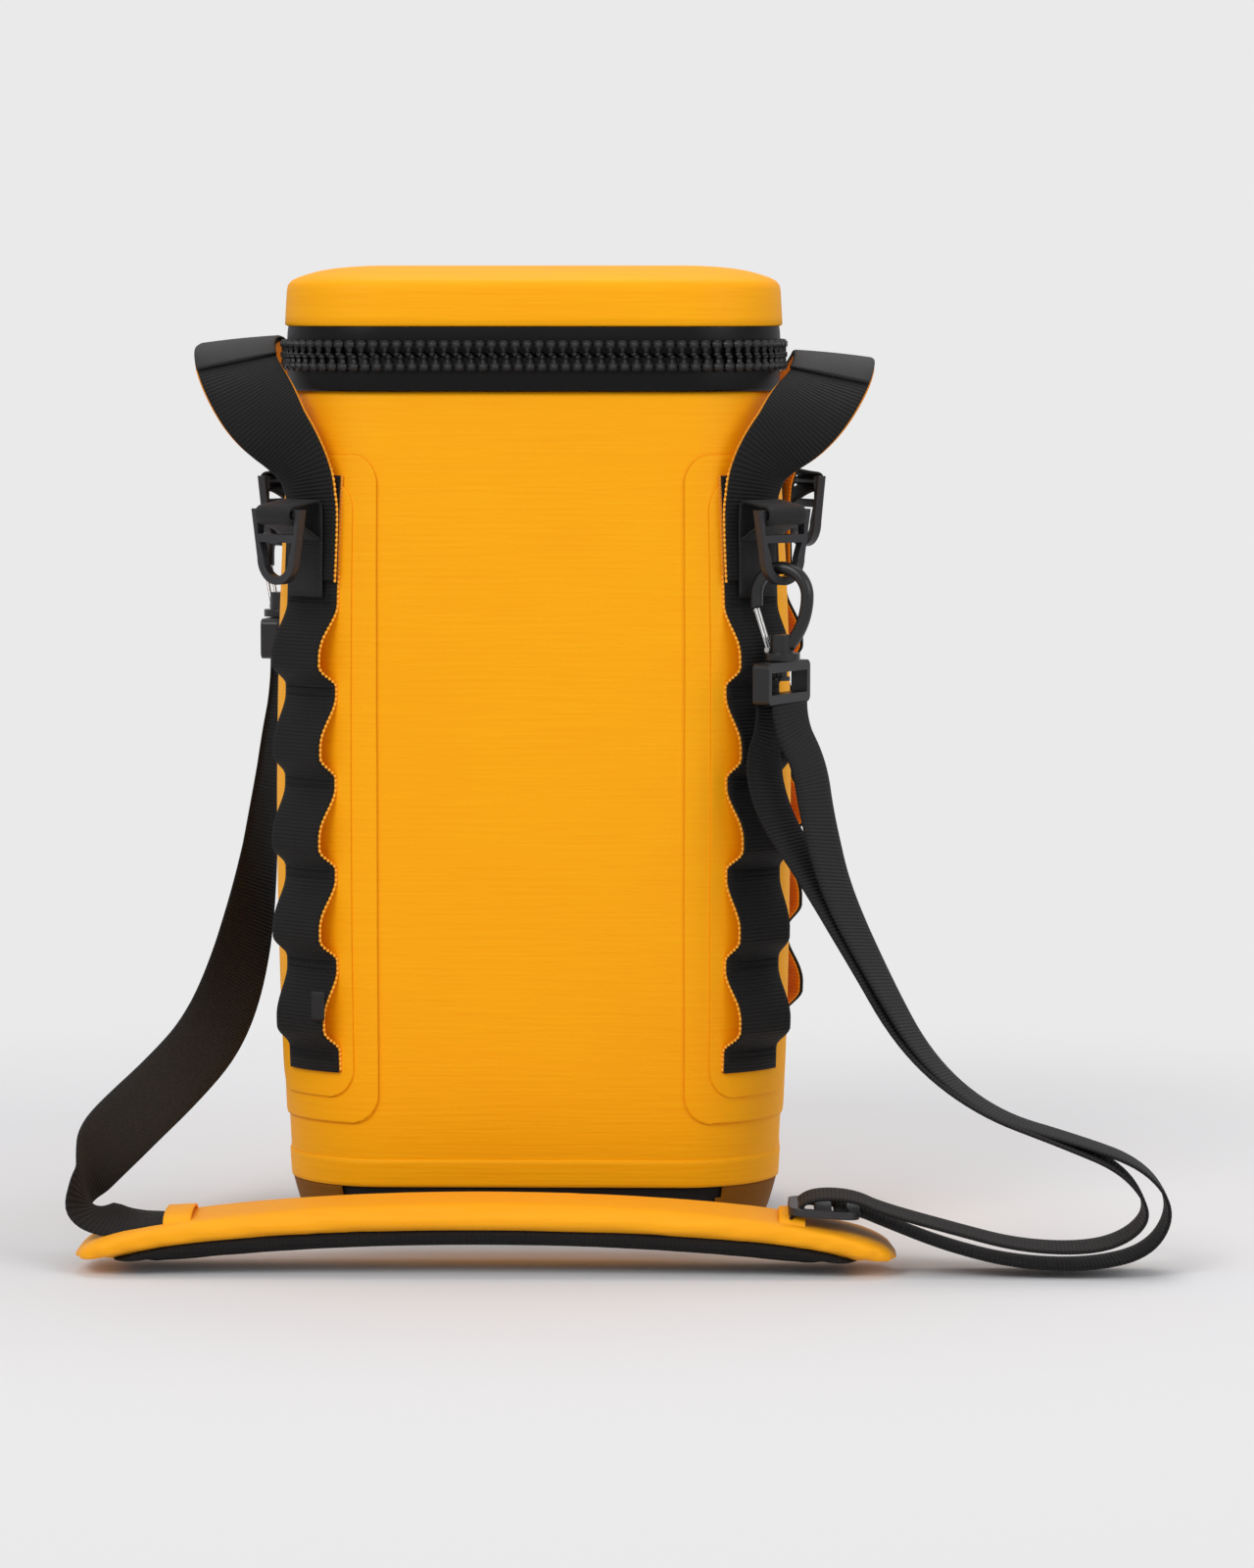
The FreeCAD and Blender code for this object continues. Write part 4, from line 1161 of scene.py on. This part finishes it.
def dress_hard_pieces(nodes: dict[str, Piece]) -> None:
    """Give each kept construction piece its own finish.

    Args:
        nodes: the construction's objects by node name.
    """
    finishes = (
        (("d_ring", "tri_glide"), RING_PLASTIC), (("hook_body", "clip_base"), HOOK_COAT),
        # The zip's slider and puller wear the plastic whose grey lightening is painted highlight.
        (("hook_gate",), GATE_WIRE), (("zip_slider", "zip_puller"), ZIP_PLASTIC),
        (("wall_foam", "floor_foam", "lid_foam"), FOAM),
        (("inner_liner", "liner_rim", "lid_liner"), LINER_FILM),
    )
    for name, piece in nodes.items():
        for starts, finish in finishes:
            if name.startswith(starts):
                FINISHES.dress(piece, finish)
                LOG.info("dressed %s as %s", name, finish.name)


# ---- shoulder strap and pad --------------------------------------------------------------------

def metres(points: Sequence[Triple]) -> list[Vector]:
    """Points, given in millimetres, as vectors in metres."""
    return [Vector(p) * MM for p in points]


def spread(ways: Sequence[Triple], count: int) -> list[Vector]:
    """Directions set at even steps, filled in smoothly for every point of a line."""
    result = []
    for index in range(count):
        place = index / (count - 1) * (len(ways) - 1)
        first = min(int(place), len(ways) - 2)
        result.append(Vector(ways[first]).lerp(Vector(ways[first + 1]), place - first).normalized())
    return result


@dataclass
class ShoulderStrap:
    """Webbing from hook to hook, doubled on the right where it adjusts."""

    width: float = 38 * MM
    thick: float = 1.7 * MM
    outer: tuple[Triple, ...] = (
        (141, -111.5, 299.7), (141, -111.5, 288), (152, -109, 266), (156, -112, 238),
        (166, -124, 198), (188, -141, 155), (214, -155, 110), (250, -166, 82), (295, -172, 70),
        (330, -176, 58), (346, -179, 36), (334, -182, 13), (303, -184, 5), (262, -183, 6),
        (224, -180, 15), (190, -177, 28), (176, -177, 34), (164, -177, 36),
    )
    inner: tuple[Triple, ...] = (
        (132.5, -106.5, 299.7), (132.5, -106.5, 288), (125.5, -109, 266), (133, -117, 238),
        (152, -126, 210), (178, -141, 166), (204, -156, 118), (241, -169, 87), (287, -177, 70),
        (318, -181, 57), (333, -183, 36), (324, -184, 22), (302, -185, 14), (264, -184, 15),
        (228, -181, 24), (190, -178, 34), (176, -177, 40.5), (158, -177, 42), (146, -177, 38.5),
        (141, -177, 31),
    )
    rear: tuple[Triple, ...] = (
        (-151.4, 91.5, 311.7), (-151.4, 91.5, 298), (-156.5, 90, 266), (-161, 84, 222),
        (-168, 72, 165), (-177, 52, 124), (-188, 16, 98), (-204, -44, 82), (-222, -106, 68),
        (-235, -146, 56), (-241, -163, 42), (-237, -171, 30), (-222, -175, 25), (-204, -176, 26),
        (-186, -177, 27.5), (-160, -177, 22), (-104, -177, 26), (-46, -176, 29), (14, -175, 29),
        (70, -176, 26), (124, -176, 21),
    )
    # The webbing's width direction at even steps along each route.
    front_ways: tuple[Triple, ...] = (
        ((0.5, 0.87, 0),) * 3 + ((0.48, 0.88, 0), (0.42, 0.9, 0), (0.3, 0.95, 0), (0.2, 0.97, 0),
                                 (0.1, 0.99, 0), (0.03, 1, 0)) + ((0, 1, 0),) * 9
    )
    rear_ways: tuple[Triple, ...] = (
        (0.24, 0.97, 0), (0.24, 0.97, 0), (0.3, 0.95, 0), (0.45, 0.88, 0), (0.7, 0.65, -0.2),
        (0.8, 0.35, -0.45), (0.8, 0.1, -0.55), (0.75, 0.0, -0.65), (0.65, 0.1, -0.7),
        (0.5, 0.6, -0.6), (0.1, 0.95, 0.1), (0, 0.93, 0.35), (0, 0.95, 0.3), (0, 1, 0.1),
    ) + ((0, 1, 0),) * 7

    def build(self, pad: "ShoulderPad", glide: Piece) -> list[Piece]:
        """Build the three stretches of webbing.

        Args:
            pad: the built shoulder pad; not used.
            glide: the tri-glide that closes the loop; not used.

        Returns:
            The webbing pieces.
        """
        made = []
        for name, route, ways, node, clip, carried in (
            ("strap_outer", self.outer, self.front_ways, "strap_front_outer", "clip_front",
             [glide]),
            ("strap_return", self.inner, self.front_ways, "strap_front_inner", "clip_front", []),
            ("strap_back", self.rear, self.rear_ways, "strap_rear", "clip_rear",
             [glide, *pad.made]),
        ):
            line = curve_line(metres(route), 8)
            piece = ribbon(name, line, spread(ways, len(line)), self.width, self.thick, 0.0,
                           0.3 * MM)
            finished(piece, WEBBING, node)
            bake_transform(piece)
            made.append(piece)
        return made


@dataclass
class ShoulderPad:
    """The padded sleeve on the strap: coated top, mesh underside and keepers."""

    middle: Vector = field(default_factory=lambda: Vector((-0.022, -0.175, 0)))
    half_length: float = 0.221
    width: float = 0.065
    rise: float = 0.017
    mesh_size: float = 3.6 * MM
    frames: int = 20
    made: list[Piece] = field(default_factory=list)

    def _arch(self, part: float) -> float:
        """The underside's height along the pad, from -1 to 1."""
        return self.rise * (1 - part * part)

    def _half_width(self, part: float) -> float:
        """Half the pad's width along it, rounded off at its ends."""
        turn, reach = 0.020, abs(part) * self.half_length
        over = max(reach - (self.half_length - turn), 0)
        return self.width / 2 - turn + math.sqrt(max(turn * turn - over * over, 0))

    def _cushion(self, name: str, low: float, high: float, inset: float, short: float,
                 dips: tuple[float, float]) -> Piece:
        """One stuffed layer, as a closed form with rounded sides and thinner tips.

        Args:
            name: the layer's name.
            low: height of its underside over the pad's arch.
            high: height of its top over the arch.
            inset: how far its sides lie inside the pad's outline.
            short: how far its tips stop before the pad's.
            dips: how far its underside and its top drop at the tips.

        Returns:
            The closed layer.
        """
        rings = []
        count, slices = 28, 120
        for part in steps(-1, 1, slices):
            half = self._half_width(part) - inset
            thin = min(1.0, math.sqrt(max(1 - abs(part) ** 16, 0.0)) + 0.10)
            drop = abs(part) ** 6
            bottom, top = low - dips[0] * drop, high - dips[1] * drop
            middle, thick = (bottom + top) / 2, (top - bottom) / 2 * thin
            reach = part * (self.half_length - short)
            ring = []
            for k in range(count):
                across, up = math.cos(2 * math.pi * k / count), math.sin(2 * math.pi * k / count)
                across = math.copysign(abs(across) ** 0.45, across)
                up = math.copysign(abs(up) ** 0.55, up)
                z = self._arch(reach / self.half_length) + middle + up * thick
                ring.append(self.middle + Vector((reach, across * half, z)))
            rings.append(ring)
        across_m = [self.width * k / count for k in range(count)]
        return outwards(skin_mesh(name, rings, across_m, steps(0, 0.42, slices), True, True))

    def _puff(self, piece: Piece, cap: float, floor: float) -> Piece:
        """Swell a stuffed form by cloth simulation, and cap how far it may move."""
        remesh = piece.modifiers.new("even", "REMESH")
        remesh.mode = "VOXEL"
        remesh.voxel_size = self.mesh_size
        applied(piece)
        rest = [v.co.copy() for v in piece.data.vertices]
        cloth = piece.modifiers.new("stuffing", "CLOTH")
        cloth.settings.use_pressure = True
        cloth.settings.uniform_pressure_force = 4.0
        cloth.settings.quality = 5
        cloth.settings.effector_weights.gravity = 0.0
        scene = bpy.context.scene
        for frame_number in range(1, self.frames + 1):
            scene.frame_set(frame_number)
        applied(piece)
        for vertex, start in zip(piece.data.vertices, rest):
            move = vertex.co - start
            if move.length > cap:
                vertex.co = start + move.normalized() * cap
            vertex.co.z = max(vertex.co.z, floor)
        scene.frame_set(1)
        return piece

    def _smoothed(self, piece: Piece) -> Piece:
        """One level of subdivision."""
        finer = piece.modifiers.new("finer", "SUBSURF")
        finer.levels = 1
        finer.render_levels = 1
        return applied(piece)

    def build(self) -> None:
        """Build both layers and the keepers."""
        under, top = [
            finished(self._smoothed(self._puff(self._cushion(name, *sizes), cap * MM, 0.3 * MM)),
                     finish, node)
            for name, sizes, cap, finish, node, slot in (
                ("pad_underside", (0.8 * MM, 9.6 * MM, 4.0 * MM, 16 * MM, (0.0, 5.5 * MM)), 1.6,
                 SPACER_MESH, "pad_mesh", "mesh_fabric"),
                # The top layer wears the pad cloth with painted light, a touch lighter than the
                # bag's cloth.
                ("pad_top", (9.0 * MM, 20.0 * MM, 0.8 * MM, 0.8 * MM, (8.0 * MM, 6.5 * MM)), 2.2,
                 LIT_PAD_CLOTH, "pad_cushion", "coated_fabric"))
        ]
        self.made = [under, top, *self._keepers()]
        for piece in self.made:
            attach(piece, "bag")

    def _keepers(self) -> list[Piece]:
        """The cloth loops over the strap near each end of the pad."""
        made = []
        for x, width in ((-0.186, 0.015), (0.142, 0.014)):
            part = (x - self.middle.x) / self.half_length
            base = self._arch(part) + 20.5 * MM
            shape = ((-0.0225, -2.5), (-0.0215, 2.2), (-0.012, 4.4), (0, 4.8), (0.012, 4.4),
                     (0.0215, 2.2), (0.0225, -2.5))
            points = [Vector((x, self.middle.y + y, base + z * MM)) for y, z in shape]
            line = curve_line(points, 8)
            loop = ribbon(f"keeper_{len(made) + 1}", line, [Vector((1, 0, 0.05))] * len(line),
                          width, 1.4 * MM)
            # The keepers wear the same pad cloth with its painted light.
            made.append(finished(loop, LIT_PAD_CLOTH, "pad_keepers"))
        return made


# ---- stage -------------------------------------------------------------------------------------

def facing(place: Vector, aim: Vector) -> Euler:
    """The rotation that turns a camera or a lamp at a place to what it is aimed at."""
    return (aim - place).to_track_quat("-Z", "Y").to_euler()


@dataclass
class Studio:
    """Camera, soft light, pale floor and pale surroundings."""

    eye: Vector = field(default_factory=lambda: Vector((0.105, -3.105, 0.522)))
    aim: Vector = field(default_factory=lambda: Vector((0.0525, -0.1075, 0.2555)))
    lens_mm: float = 126.9
    backdrop: str = "eaeaea"

    def camera(self) -> None:
        """Set the camera at a standing distance, a little right of the middle."""
        data = bpy.data.cameras.new("camera")
        data.lens = self.lens_mm
        data.sensor_width = 36
        data.clip_end = 30
        eye = bpy.data.objects.new("camera", data)
        eye.location = self.eye
        eye.rotation_euler = facing(self.eye, self.aim)
        bpy.context.scene.collection.objects.link(eye)
        bpy.context.scene.camera = eye

    def _lamp(self, name: str, place: Triple, watts: float, size: float) -> None:
        """One large soft lamp, turned to the bag."""
        data = bpy.data.lights.new(name, "AREA")
        data.energy = watts
        data.size = size
        lamp = bpy.data.objects.new(name, data)
        lamp.location = place
        lamp.rotation_euler = facing(Vector(place), Vector((0, 0, 0.28)))
        bpy.context.scene.collection.objects.link(lamp)

    def light(self) -> None:
        """Even studio light: a bright room, a broad key and two fills."""
        world = bpy.data.worlds.new("studio")
        bpy.context.scene.world = world
        world.use_nodes = True
        tree = world.node_tree
        room = tree.nodes["Background"]
        feed(room.inputs[0], (0.95, 0.96, 1.0, 1))
        feed(room.inputs[1], 0.62)
        seen = add_node(tree, "ShaderNodeBackground", {0: linear(self.backdrop)})
        path = add_node(tree, "ShaderNodeLightPath")
        mix = add_node(tree, "ShaderNodeMixShader", {
            0: path.outputs["Is Camera Ray"], 1: room.outputs[0], 2: seen.outputs[0]})
        feed(tree.nodes["World Output"].inputs[0], mix.outputs[0])
        self._lamp("key", (-1.6, -2.6, 2.4), 42, 1.6)
        self._lamp("fill", (2.2, -2.0, 1.5), 20, 1.6)
        self._lamp("top", (0.2, 0.6, 2.6), 22, 1.8)

    def floor(self) -> None:
        """A pale floor that fades into the surroundings away from the bag."""
        mesh = bpy.data.meshes.new("floor")
        mesh.from_pydata([(-3, -3, 0), (3, -3, 0), (3, 3, 0), (-3, 3, 0)], [], [(0, 1, 2, 3)])
        floor = link(mesh, "floor")
        material = bpy.data.materials.new("floor_paint")
        material.use_nodes = True
        tree = material.node_tree
        paint = tree.nodes["Principled BSDF"]
        for slot, value in (("Base Color", (0.75, 0.75, 0.755, 1)), ("Roughness", 0.9),
                            ("Specular IOR Level", 0.1)):
            feed(paint.inputs[slot], value)
        place = add_node(tree, "ShaderNodeTexCoord")
        reach = add_node(tree, "ShaderNodeVectorMath", {0: place.outputs["Object"]},
                         operation="LENGTH")
        fade = add_node(tree, "ShaderNodeMapRange", {
            "From Min": 0.40, "From Max": 0.95, "Value": reach.outputs["Value"]},
            interpolation_type="SMOOTHSTEP")
        clear = add_node(tree, "ShaderNodeBsdfTransparent")
        mix = add_node(tree, "ShaderNodeMixShader", {
            0: fade.outputs[0], 1: paint.outputs[0], 2: clear.outputs[0]})
        feed(tree.nodes["Material Output"].inputs[0], mix.outputs[0])
        mesh.materials.append(material)


# ---- the whole bag -----------------------------------------------------------------------------


def main() -> None:
    """Build the stage and every sub-assembly in order, and report each piece."""
    logging.basicConfig(level=logging.INFO, format="%(message)s")
    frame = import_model()
    nodes = frame["nodes"]
    bpy.context.scene.view_settings.view_transform = "Standard"
    studio = Studio()
    studio.camera()
    studio.light()
    studio.floor()
    pad = ShoulderPad()
    pad.build()
    made = list(pad.made)
    made += ShoulderStrap().build(pad, nodes["tri_glide"])
    made += BagBody().build()
    for corner in CORNERS:
        made += WebbingChain(corner).build()
        made.append(RingTab(corner).build())
    made += Zip().build()
    made += Lid().build()
    for name, across in (("left", -1), ("right", 1)):
        made += SideHandle(name, across).build()
    dress_hard_pieces(nodes)
    for piece in made:
        LOG.info("built %s: %d faces", piece.name, len(piece.data.polygons))


if __name__ == "__main__":
    main()
